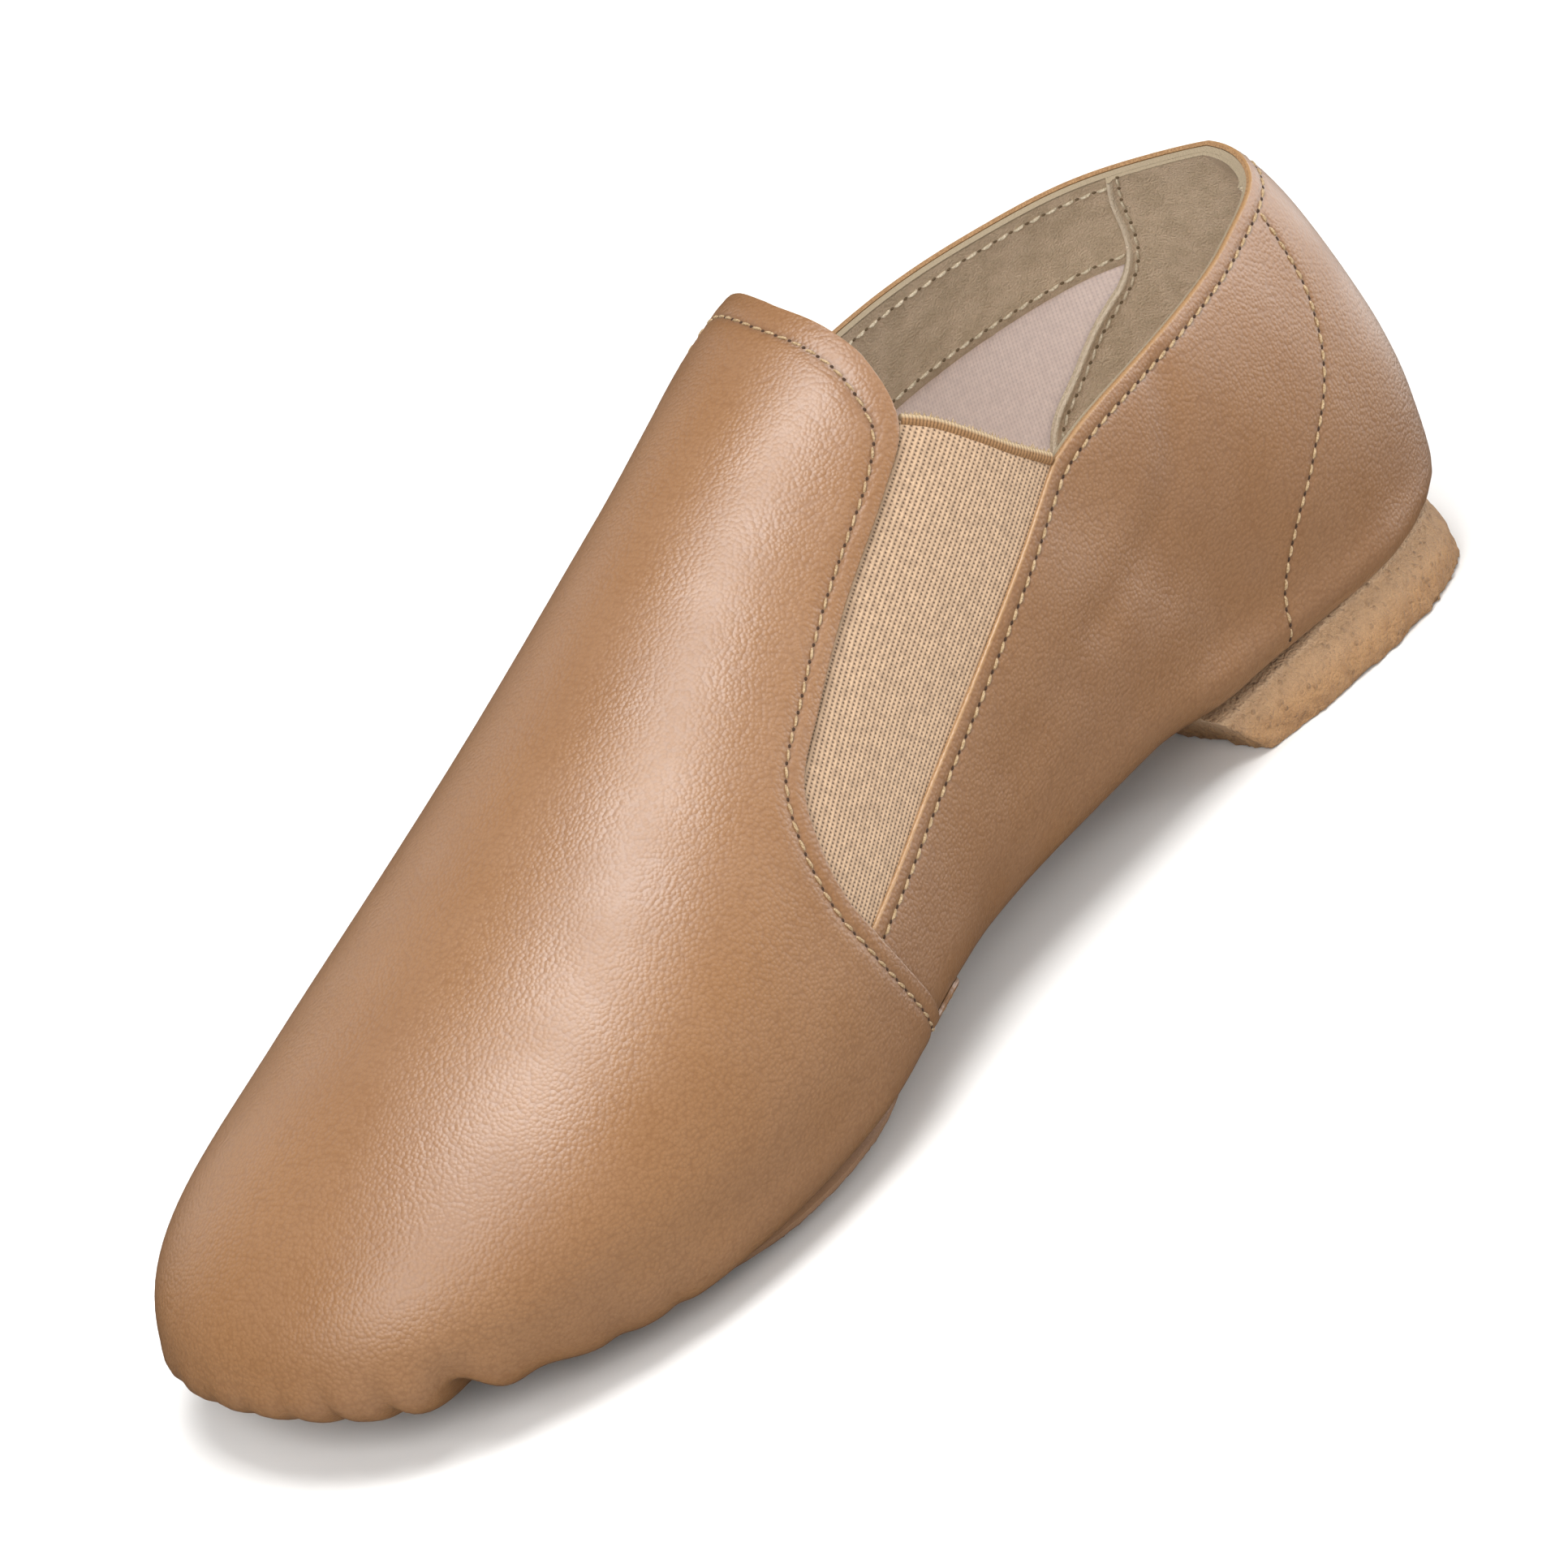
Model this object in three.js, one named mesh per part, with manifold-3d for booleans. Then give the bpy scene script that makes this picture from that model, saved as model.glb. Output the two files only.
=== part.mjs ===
// Slip-on split-sole jazz shoe, the left one of a pair.
// Lengths are millimetres. X points to the toe, Y to the lateral side, Z up, and the floor is at Z = 0.

import * as THREE from 'three';
import { mergeVertices } from 'three/addons/utils/BufferGeometryUtils.js';
import Module from 'manifold-3d';

const wasm = await Module();
wasm.setup();

// Driving sizes
const LENGTH = 250; // last, from the back of the heel to the tip of the toe
const BALL_WIDTH = 82;
const HEEL_WIDTH = 64.4;
const INSTEP_HEIGHT = 96; // crest at the top of the tongue, above the floor
const TOE_HEIGHT = 40.2; // crest just behind the tip of the toe
const TOE_SPRING = 7.5;
const BACK_HEIGHT = 71.5; // collar at the back of the heel
const WALL = 1.8;
const VAMP_STEP = 0.7; // how far the vamp stands out from the quarters
const GAP = 0.3; // between pieces that touch

const HEEL_HEIGHT = 10;
const HEEL_LENGTH = 61; // from the back of the last to the front of the block
const HEEL_FLARE = 2.7; // how far the block stands out past its seat

const PATCH_LENGTH = 76;
const PATCH_WIDTH = 71;
const PATCH_THICKNESS = 2.6;
const PATCH_TO_TOE = 42; // from the front of the patch to the tip of the toe
const PATCH_FLAT = 0.35; // what the floor takes off the curved underside
const PATCH_LAP = 9; // how far the patch lies over the upper

const GORE_THICKNESS = 1.2;
const INSOLE_THICKNESS = 2;
const SOLE_LIMIT = TOE_HEIGHT / 2; // cutters of the forefoot's sole stop here, well inside the hollow
const CLEAR = 40; // how far a cutter reaches past the shoe

// Sections of the last, from heel to toe.
// at: share of a half turn whose cosine sweeps the length, so that sections lie close at the round ends.
// ball: how much a section follows the ball width rather than the heel width; lateral and medial: half
// widths as shares of that width; swing: share of the ball width, towards the lateral side.
// heel: share of the rise from patch to heel seat; spring: share of the toe spring.
// crest: share of the rise from toe height to instep height; widest: share of the section's own height.
// under and over: powers of the two halves of the section, 2 for an ellipse and more for a squarer one.
const SECTIONS = [
  { at: 0.0, ball: 0.0, lateral: 0.0, medial: 0.0, swing: 0.071, heel: 1.0, spring: 0.0,
    crest: 1.038, widest: 0.227, under: 4.5, over: 2.0 },
  { at: 0.08, ball: 0.0, lateral: 0.301, medial: 0.28, swing: 0.04, heel: 1.0, spring: 0.0,
    crest: 0.955, widest: 0.223, under: 4.5, over: 1.8 },
  { at: 0.2, ball: 0.0, lateral: 0.495, medial: 0.5, swing: -0.01, heel: 1.0, spring: 0.0,
    crest: 0.916, widest: 0.212, under: 4.5, over: 1.8 },
  { at: 0.3, ball: 0.2, lateral: 0.505, medial: 0.518, swing: -0.04, heel: 1.0, spring: 0.0,
    crest: 0.996, widest: 0.204, under: 4.0, over: 2.1 },
  { at: 0.4, ball: 0.3, lateral: 0.502, medial: 0.491, swing: -0.027, heel: 0.95, spring: 0.0,
    crest: 1.022, widest: 0.217, under: 3.4, over: 2.3 },
  { at: 0.5, ball: 0.4, lateral: 0.507, medial: 0.48, swing: -0.011, heel: 0.73, spring: 0.0,
    crest: 0.805, widest: 0.251, under: 3.2, over: 2.1 },
  { at: 0.6, ball: 0.9, lateral: 0.516, medial: 0.493, swing: 0.007, heel: 0.12, spring: 0.0,
    crest: 0.511, widest: 0.303, under: 3.8, over: 2.0 },
  { at: 0.72, ball: 1.0, lateral: 0.489, medial: 0.495, swing: -0.01, heel: 0.0, spring: 0.03,
    crest: 0.177, widest: 0.359, under: 4.2, over: 2.0 },
  { at: 0.86, ball: 1.0, lateral: 0.32, medial: 0.362, swing: -0.06, heel: 0.0, spring: 0.43,
    crest: 0.0, widest: 0.305, under: 3.2, over: 2.0 },
  { at: 1.0, ball: 1.0, lateral: 0.0, medial: 0.0, swing: -0.094, heel: 0.0, spring: 1.0,
    crest: -0.036, widest: 0.14, under: 2.6, over: 2.0 },
];
// Sections fan about an upright axis at the heel and at the toe, and stand parallel between: shares of LENGTH
const HEEL_AXIS = 0.144;
const TOE_AXIS = 0.828;
const AXIS_BLEND = 0.056;

// Lines on the side of the shoe, the same on both sides. `along` is a share of LENGTH.
// Collar of the quarter: `fall` is the share of the way down from BACK_HEIGHT to the front of the quarter
const COLLAR = [
  { along: 0.0, fall: 0.0 },
  { along: 0.02, fall: 0.05 },
  { along: 0.07, fall: 0.3 },
  { along: 0.13, fall: 0.57 },
  { along: 0.21, fall: 0.74 },
  { along: 0.28, fall: 0.82 },
  { along: 0.318, fall: 1.0 },
];
// Top of the gore and of the tongue, `up` as a share of INSTEP_HEIGHT
const GORE_TOP = [
  { along: 0.341, up: 0.726 },
  { along: 0.356, up: 0.77 },
  { along: 0.376, up: 0.827 },
];
const TONGUE_TOP = [
  { along: 0.392, up: 0.859 },
  { along: 0.385, up: 0.89 },
  { along: 0.381, up: 0.93 },
  { along: 0.377, up: 0.975 },
  { along: 0.375, up: 1.0 },
];
// Edge of the vamp from the top of the gore to its point, then on down to the side of the sole
const VAMP_EDGE = [
  { along: 0.392, up: 0.859 },
  { along: 0.432, up: 0.795 },
  { along: 0.495, up: 0.714 },
  { along: 0.552, up: 0.636 },
  { along: 0.594, up: 0.575 },
  { along: 0.612, up: 0.5 },
  { along: 0.616, up: 0.417 },
  { along: 0.61, up: 0.35 },
];
const VAMP_FOOT = [
  { along: 0.604, up: 0.302 },
  { along: 0.588, up: 0.203 },
  { along: 0.576, up: 0.14 },
];
// Front edge of the quarter, from the collar to the point of the gore
const QUARTER_EDGE = [
  { along: 0.318, up: 0.669 },
  { along: 0.366, up: 0.609 },
  { along: 0.463, up: 0.4875 },
  { along: 0.547, up: 0.402 },
  { along: 0.61, up: 0.35 },
];
// Rear edge of the vamp under the arch: `along` at the middle and at the sides
const VAMP_ARCH = { middle: 0.484, side: 0.576 };

// Mesh of the last: columns from heel to toe, and steps from the bottom line to the crest
const COLUMNS = 38;
const STEPS = 15;
const RING = 2 * STEPS;

const PATCH_SIDES = 36;
const PATCH_EGG = 0.07; // how much wider the patch is towards the toe
const TONGUE_PIECES = 8;
const COLLAR_PIECES = 12;
const EDGE_PIECES = 10;
const FOOT_PIECES = 4;
const ARCH_PIECES = 6;

// Rings of the heel block from the floor up: `up` is a share of HEEL_HEIGHT and `out` of HEEL_FLARE
const HEEL_RINGS = [
  { up: 0.0, out: 0.9 },
  { up: 0.25, out: 1.05 },
  { up: 0.6, out: 0.9 },
  { up: 1.0, out: 0.55 },
  { up: 1.6, out: 0.3 },
];
const HEEL_SIDES = 14;
const HEEL_TURN = -40 * Math.PI / 180; // where on the round of the last the block's side stands
const HEEL_OVERSHOOT = 1.25; // the rings run on past the front of the block, which is then cut
const HEEL_HOLLOW = 1.2; // how far the front of the block is hollowed
const INSOLE_STEPS = 4; // half width of the insole in steps from the bottom line

const lerp = THREE.MathUtils.lerp;

/** Value of one column of SECTIONS at t, a cubic through the rows. */
function row(name, t) {
  const last = SECTIONS.length - 2;
  let k = 0;
  while (k < last && t > SECTIONS[k + 1].at) k += 1;
  const rise = (i) => {
    const j = THREE.MathUtils.clamp(i, 0, last);
    return (SECTIONS[j + 1][name] - SECTIONS[j][name]) / (SECTIONS[j + 1].at - SECTIONS[j].at);
  };
  const step = (i) => SECTIONS[i + 1].at - SECTIONS[i].at;
  const inner = (i) => (rise(i - 1) * step(i) + rise(i) * step(i - 1)) / (step(i - 1) + step(i));
  const slope = (i) => {
    if (i === 0) return 2 * rise(0) - inner(1);
    if (i === last + 1) return 2 * rise(last) - inner(last);
    return inner(i);
  };
  const h = step(k);
  const u = (t - SECTIONS[k].at) / h;
  const v = 1 - u;
  return (1 + 2 * u) * v * v * SECTIONS[k][name] + u * v * v * h * slope(k)
    + u * u * (3 - 2 * u) * SECTIONS[k + 1][name] - u * u * v * h * slope(k + 1);
}

/** Distance from the heel along the last at t. */
function alongAt(t) {
  return LENGTH * (1 - Math.cos(Math.PI * t)) / 2;
}

/** The t at a distance x along the last. */
function stationAt(x) {
  return Math.acos(THREE.MathUtils.clamp(1 - 2 * x / LENGTH, -1, 1)) / Math.PI;
}

/** Where on the spine the section that ends at x starts, smooth between the heel and toe axes. */
function spineAt(x) {
  const k = AXIS_BLEND * LENGTH;
  const soft = (d) => k * Math.log1p(Math.exp(d / k));
  const ahead = HEEL_AXIS * LENGTH + soft(x - HEEL_AXIS * LENGTH);
  return TOE_AXIS * LENGTH - soft(TOE_AXIS * LENGTH - ahead);
}

/** Height of the bottom line of the last at t. */
function bottomAt(t) {
  const fore = PATCH_THICKNESS + GAP - PATCH_FLAT;
  const rear = HEEL_HEIGHT + GAP - VAMP_STEP;
  return lerp(fore, rear, row('heel', t)) + row('spring', t) * TOE_SPRING;
}

/** Height of the crest of the last at t. */
function crestAt(t) {
  return lerp(TOE_HEIGHT, INSTEP_HEIGHT, row('crest', t));
}

/** Half width of the last at t, on the lateral side (+1) or the medial side (-1). */
function halfWidth(t, side) {
  return row(side > 0 ? 'lateral' : 'medial', t) * lerp(HEEL_WIDTH, BALL_WIDTH, row('ball', t));
}

/** Point of the last at t, at a turn from -90 degrees (bottom line) through 0 (widest) to 90 (crest). */
function lastPoint(t, side, turn) {
  const x = alongAt(t);
  const spine = spineAt(x);
  const widest = lerp(bottomAt(t), crestAt(t), row('widest', t));
  const power = 2 / row(turn < 0 ? 'under' : 'over', t);
  const out = Math.max(Math.cos(turn), 0) ** power;
  const up = Math.abs(Math.sin(turn)) ** power;
  const rim = new THREE.Vector2(x, row('swing', t) * BALL_WIDTH + side * halfWidth(t, side));
  const root = new THREE.Vector2(spine, row('swing', stationAt(spine)) * BALL_WIDTH);
  const plan = root.lerp(rim, out);
  const here = stationAt(plan.x);
  const z = lerp(widest, turn < 0 ? bottomAt(here) : crestAt(here), up);
  return new THREE.Vector3(plan.x, plan.y, z);
}

/** Number of the vertex in column i, k steps round from the bottom line; an end column is a single rib. */
function vertexAt(i, k) {
  const turn = (k + RING) % RING;
  const rib = Math.min(turn, RING - turn);
  if (i === 0) return rib;
  const first = STEPS + 1 + (i - 1) * RING;
  return first + (i === COLUMNS ? rib : turn);
}

/** Faces of the last between two steps round the ring, facing out. */
function lastFaces(from, to) {
  const faces = [];
  for (let i = 0; i < COLUMNS; i += 1) {
    for (let k = from; k < to; k += 1) {
      const near = vertexAt(i, k);
      const far = vertexAt(i + 1, k);
      const farUp = vertexAt(i + 1, k + 1);
      const nearUp = vertexAt(i, k + 1);
      faces.push(near, farUp, far, near, nearUp, farUp);
    }
  }
  return faces;
}

/** Mesh of the last with its outward normals. */
function makeLast() {
  const positions = new Float32Array(3 * (2 * (STEPS + 1) + (COLUMNS - 1) * RING));
  for (let i = 0; i <= COLUMNS; i += 1) {
    for (let k = 0; k < RING; k += 1) {
      const side = k <= STEPS ? 1 : -1;
      const rib = Math.min(k, RING - k);
      const turn = (rib / STEPS - 0.5) * Math.PI;
      lastPoint(i / COLUMNS, side, turn).toArray(positions, 3 * vertexAt(i, k));
    }
  }
  const last = new THREE.BufferGeometry();
  last.setAttribute('position', new THREE.BufferAttribute(positions, 3));
  last.setIndex(lastFaces(0, RING));
  last.computeVertexNormals();
  return last;
}

const LAST = makeLast();

/** Positions of the last's vertices, moved out by a distance. */
function shifted(distance) {
  const positions = LAST.getAttribute('position').array.slice();
  const normals = LAST.getAttribute('normal').array;
  return positions.map((value, j) => value + distance * normals[j]);
}

/** Solid of a closed geometry. */
function solidOf(geometry) {
  geometry.deleteAttribute('normal');
  geometry.deleteAttribute('uv');
  const merged = mergeVertices(geometry, 1e-4);
  return new wasm.Manifold(new wasm.Mesh({
    numProp: 3,
    vertProperties: new Float32Array(merged.getAttribute('position').array),
    triVerts: new Uint32Array(merged.getIndex().array),
  }));
}

/** Closed form of the last, moved out by a distance. */
function form(distance) {
  const geometry = new THREE.BufferGeometry();
  geometry.setAttribute('position', new THREE.BufferAttribute(shifted(distance), 3));
  geometry.setIndex(lastFaces(0, RING));
  return solidOf(geometry);
}

/** Prism of a side view outline [x, z] that reaches past both sides of the shoe. */
function sidePrism(outline) {
  const shape = new THREE.Shape(outline.map(([x, z]) => new THREE.Vector2(x, z)));
  const depth = BALL_WIDTH + 2 * CLEAR;
  const geometry = new THREE.ExtrudeGeometry(shape, { depth, bevelEnabled: false });
  return solidOf(geometry.rotateX(Math.PI / 2).translate(0, depth / 2, 0));
}

/** Prism of a plan outline [x, y] between two heights. */
function planPrism(outline, low, high) {
  const shape = new THREE.Shape(outline.map(([x, y]) => new THREE.Vector2(x, y)));
  const geometry = new THREE.ExtrudeGeometry(shape, { depth: high - low, bevelEnabled: false });
  return solidOf(geometry.translate(0, 0, low));
}

/** Points of a line whose rows are shares of the length and of the instep height. */
function sideLine(rows) {
  return rows.map(({ along, up }) => [along * LENGTH, up * INSTEP_HEIGHT]);
}

/** Smooth line through points, with a number of pieces. */
function smooth(points, pieces) {
  const curve = new THREE.SplineCurve(points.map(([x, y]) => new THREE.Vector2(x, y)));
  return curve.getPoints(pieces).map(({ x, y }) => [x, y]);
}

/** Outline moved in by a distance at every edge. */
function inset(outline, distance) {
  const points = outline.map(([x, y]) => new THREE.Vector2(x, y));
  const inward = THREE.ShapeUtils.area(points) > 0 ? 1 : -1;
  const across = (a, b) => new THREE.Vector2(a.y - b.y, b.x - a.x).normalize().multiplyScalar(inward);
  return points.map((point, i) => {
    const before = across(points.at(i - 1), point);
    const after = across(point, points[(i + 1) % points.length]);
    const middle = before.clone().add(after).normalize();
    const moved = middle.multiplyScalar(distance / middle.dot(before)).add(point);
    return [moved.x, moved.y];
  });
}

/** Egg-shaped plan of the forefoot patch, drawn in by a margin; its narrow end points to the heel. */
function patchOutline(margin) {
  const centre = LENGTH - PATCH_TO_TOE - PATCH_LENGTH / 2;
  const swing = row('swing', stationAt(centre)) * BALL_WIDTH;
  const outline = [];
  for (let i = 0; i < PATCH_SIDES; i += 1) {
    const angle = 2 * Math.PI * i / PATCH_SIDES;
    const along = (PATCH_LENGTH / 2 - margin) * Math.cos(angle);
    const across = (PATCH_WIDTH / 2 - margin) * Math.sin(angle) * (1 + PATCH_EGG * Math.cos(angle));
    outline.push([centre + along, swing + across]);
  }
  return outline;
}

/** Everything above the collar, the gores and the tongue. */
function collarCutter() {
  const front = sideLine(QUARTER_EDGE)[0][1];
  const collar = COLLAR.map(({ along, fall }) => [along * LENGTH, lerp(BACK_HEIGHT, front, fall)]);
  const top = INSTEP_HEIGHT + CLEAR;
  const tongue = smooth(sideLine(TONGUE_TOP), TONGUE_PIECES);
  const outline = [
    [-CLEAR, BACK_HEIGHT], ...smooth(collar, COLLAR_PIECES), ...sideLine(GORE_TOP), ...tongue,
    [tongue.at(-1)[0], top], [-CLEAR, top],
  ];
  return sidePrism(outline);
}

/** Side outline of the window that a gore fills, open at the collar. */
function goreOutline() {
  const vamp = smooth(sideLine(VAMP_EDGE), EDGE_PIECES);
  const quarter = smooth(sideLine(QUARTER_EDGE), EDGE_PIECES).reverse();
  const top = sideLine(GORE_TOP).map(([x, z]) => [x, z + WALL]);
  return [...vamp, ...quarter.slice(1), ...top];
}

/** Everything in front of the edge of the vamp, on the sides and under the arch. */
function vampRegion() {
  const foot = sideLine([VAMP_EDGE.at(-1), ...VAMP_FOOT]);
  const edge = [...smooth(sideLine(VAMP_EDGE), EDGE_PIECES), ...smooth(foot, FOOT_PIECES).slice(1)];
  const ahead = LENGTH + CLEAR;
  const top = INSTEP_HEIGHT + CLEAR;
  const low = edge.at(-1)[1];
  const sides = sidePrism([[-CLEAR, top], [-CLEAR, edge[0][1]], ...edge, [ahead, low], [ahead, top]]);
  const arch = [];
  for (let i = -ARCH_PIECES; i <= ARCH_PIECES; i += 1) {
    const share = i / ARCH_PIECES;
    const along = lerp(VAMP_ARCH.middle, VAMP_ARCH.side, share * share) * LENGTH;
    arch.push([along, share * BALL_WIDTH / 2]);
  }
  const wide = BALL_WIDTH / 2 + CLEAR;
  const side = VAMP_ARCH.side * LENGTH;
  const under = [[side, -wide], ...arch, [side, wide], [ahead, wide], [ahead, -wide]];
  return sides.add(planPrism(under, -CLEAR, low + GAP));
}

/** Vamp and quarters: one hollow wall, open at the collar, at the gores and over the patch. */
function makeUpper() {
  const vamp = form(0).intersect(vampRegion());
  const window = sidePrism(goreOutline());
  const hole = planPrism(patchOutline(PATCH_LAP), -CLEAR, SOLE_LIMIT);
  return form(-VAMP_STEP).add(vamp)
    .subtract(form(-VAMP_STEP - WALL))
    .subtract(collarCutter())
    .subtract(window)
    .subtract(hole);
}

/** Elastic gore of one side (+1 lateral, -1 medial), set back behind the quarter. */
function makeGore(side) {
  const inner = -VAMP_STEP - WALL;
  const half = [[-CLEAR, 0], [LENGTH, 0], [LENGTH, side * BALL_WIDTH], [-CLEAR, side * BALL_WIDTH]];
  return form(inner + GORE_THICKNESS)
    .subtract(form(inner))
    .intersect(sidePrism(inset(goreOutline(), GAP)))
    .intersect(planPrism(half, 0, INSTEP_HEIGHT + CLEAR))
    .subtract(collarCutter());
}

/** Rubber patch under the forefoot, worn flat where it stands on the floor. */
function makePatch() {
  return form(PATCH_THICKNESS + GAP)
    .subtract(form(GAP))
    .intersect(planPrism(patchOutline(0), 0, SOLE_LIMIT));
}

/** Heel block: rings that narrow from the floor to the seat, cut by the underside of the upper. */
function makeHeel() {
  const rings = HEEL_RINGS.map(({ up, out }) => {
    const ring = [];
    for (let i = -HEEL_SIDES; i <= HEEL_SIDES; i += 1) {
      const side = i < 0 ? 1 : -1;
      const t = stationAt(HEEL_LENGTH * HEEL_OVERSHOOT) * Math.abs(i) / HEEL_SIDES;
      const rim = lastPoint(t, side, HEEL_TURN);
      const spine = spineAt(alongAt(t));
      const root = new THREE.Vector3(spine, row('swing', stationAt(spine)) * BALL_WIDTH, rim.z);
      const away = rim.clone().sub(root).normalize().multiplyScalar(HEEL_FLARE * out);
      ring.push(rim.add(away).setZ(up * HEEL_HEIGHT));
    }
    return ring;
  });
  const front = [];
  for (let i = -ARCH_PIECES; i <= ARCH_PIECES; i += 1) {
    const share = i / ARCH_PIECES;
    front.push([HEEL_LENGTH - HEEL_HOLLOW * (1 - share * share), share * HEEL_WIDTH / 2]);
  }
  const ahead = HEEL_LENGTH + 2 * CLEAR;
  const cutter = [
    [ahead, -HEEL_WIDTH], [HEEL_LENGTH, -HEEL_WIDTH], ...front, [HEEL_LENGTH, HEEL_WIDTH], [ahead, HEEL_WIDTH],
  ];
  return loft(rings)
    .subtract(planPrism(cutter, -CLEAR, INSTEP_HEIGHT))
    .subtract(form(GAP - VAMP_STEP));
}

/** Solid through rings of as many points each, from the bottom up, closed by flat ends. */
function loft(rings) {
  const size = rings[0].length;
  const points = rings.flat();
  const centre = (ring) => ring.reduce((sum, p) => sum.add(p), new THREE.Vector3()).divideScalar(size);
  const low = points.push(centre(rings[0])) - 1;
  const high = points.push(centre(rings.at(-1))) - 1;
  const top = (rings.length - 1) * size;
  const faces = [];
  for (let j = 0; j < size; j += 1) {
    const next = (j + 1) % size;
    faces.push(low, next, j, high, top + j, top + next);
    for (let i = 0; i < rings.length - 1; i += 1) {
      const a = i * size;
      const b = a + size;
      faces.push(a + j, a + next, b + next, a + j, b + next, b + j);
    }
  }
  const geometry = new THREE.BufferGeometry().setFromPoints(points);
  geometry.setIndex(faces);
  return solidOf(geometry);
}

/** Insole: a sheet that lies on the inside of the bottom and turns up a little at its edge. */
function makeInsole() {
  const under = -VAMP_STEP - WALL - GAP;
  const low = shifted(under);
  const high = shifted(under - INSOLE_THICKNESS);
  const above = low.length / 3;
  const down = lastFaces(-INSOLE_STEPS, INSOLE_STEPS);
  const faces = [...down];
  for (let j = 0; j < down.length; j += 3) {
    faces.push(above + down[j], above + down[j + 2], above + down[j + 1]);
  }
  for (let i = 0; i < COLUMNS; i += 1) {
    for (const [a, b] of [[i, i + 1], [i + 1, i]]) {
      const k = a < b ? INSOLE_STEPS : -INSOLE_STEPS;
      const from = vertexAt(a, k);
      const to = vertexAt(b, k);
      faces.push(from, above + from, above + to, from, above + to, to);
    }
  }
  const geometry = new THREE.BufferGeometry();
  geometry.setAttribute('position', new THREE.BufferAttribute(new Float32Array([...low, ...high]), 3));
  geometry.setIndex(faces);
  return solidOf(geometry);
}

/** Named mesh of a solid in its own material. */
function meshOf(name, solid, color, roughness) {
  const { vertProperties, triVerts } = solid.getMesh();
  const geometry = new THREE.BufferGeometry();
  geometry.setAttribute('position', new THREE.BufferAttribute(vertProperties, 3));
  geometry.setIndex(new THREE.BufferAttribute(triVerts, 1));
  geometry.computeVertexNormals();
  const material = new THREE.MeshStandardMaterial({ color, roughness, metalness: 0 });
  const mesh = new THREE.Mesh(geometry, material);
  mesh.name = name;
  return mesh;
}

const shoe = new THREE.Group();
shoe.add(
  meshOf('upper', makeUpper(), '#b68a62', 0.5),
  meshOf('gore_lateral', makeGore(1), '#cda67c', 0.85),
  meshOf('gore_medial', makeGore(-1), '#cda67c', 0.85),
  meshOf('outsole', makePatch(), '#a67c58', 0.7),
  meshOf('heel', makeHeel(), '#c49a6c', 0.95),
  meshOf('insole', makeInsole(), '#b9ada8', 0.9),
);
// The origin is under the middle of the box round the shoe
const box = new THREE.Box3().setFromObject(shoe);
const middle = box.getCenter(new THREE.Vector3());
shoe.position.set(-middle.x, -middle.y, -box.min.z);

export default shoe;
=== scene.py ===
"""Looks of a tan slip-on split-sole jazz shoe, the left one of a pair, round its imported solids.

The shapes are worked out in millimetres on the shoe's last: x from the back of the heel to the toe, y to
the lateral side, z up from the floor. A finished mesh is placed in metres in the model's own frame.
"""

import logging
import math
from dataclasses import dataclass, field
from enum import Enum
from functools import partial
from typing import Callable, ClassVar, Dict, List, Optional, Sequence, Tuple

import bpy
import numpy as np
from mathutils import Matrix, Vector, kdtree


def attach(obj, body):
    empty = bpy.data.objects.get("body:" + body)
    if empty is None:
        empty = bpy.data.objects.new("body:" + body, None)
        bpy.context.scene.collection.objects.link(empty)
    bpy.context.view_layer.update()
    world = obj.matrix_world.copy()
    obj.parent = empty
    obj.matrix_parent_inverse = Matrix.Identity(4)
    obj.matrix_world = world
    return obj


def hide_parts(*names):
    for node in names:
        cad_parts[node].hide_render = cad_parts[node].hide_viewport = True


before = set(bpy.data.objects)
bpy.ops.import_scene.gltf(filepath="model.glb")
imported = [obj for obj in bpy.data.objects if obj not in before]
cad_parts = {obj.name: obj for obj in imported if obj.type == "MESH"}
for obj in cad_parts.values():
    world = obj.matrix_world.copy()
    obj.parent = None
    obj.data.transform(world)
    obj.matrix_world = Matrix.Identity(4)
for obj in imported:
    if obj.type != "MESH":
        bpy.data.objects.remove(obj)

LOG = logging.getLogger("shoe")
Array = np.ndarray
Faces = List[Tuple[int, ...]]
Piece = bpy.types.Object
Tree = bpy.types.NodeTree
Socket = bpy.types.NodeSocket
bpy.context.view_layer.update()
MM = 0.001
# The frame's origin in the last's own coordinates, mm
ORIGIN = np.array([125.303, 0.460, 0.0])
# Half the girth of the last at the ball, mm, which turns ring values to lengths
HALF_GIRTH = 105.0
# A distance that stands for not near at all, mm
FAR = 50.0
# Faces that meet at more than this angle keep a sharp edge, degrees
SHARP = 42.0


class Side(Enum):
    """The two sides of the shoe, with the sign of y."""

    LATERAL = 1
    MEDIAL = -1


# ---- small helpers


def lerp(low: Array, high: Array, share: Array) -> Array:
    """Value at a share of the way from low to high."""
    return low + (high - low) * share


def ease(value: Array, low: float, high: float) -> Array:
    """Smooth step from 0 at low to 1 at high."""
    share = np.clip((value - low) / (high - low), 0.0, 1.0)
    return share * share * (3.0 - 2.0 * share)


def bell(value: Array, width: float) -> Array:
    """Bell curve of height 1 round 0, with a half width."""
    return np.exp(-((value / width) ** 2))


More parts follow.
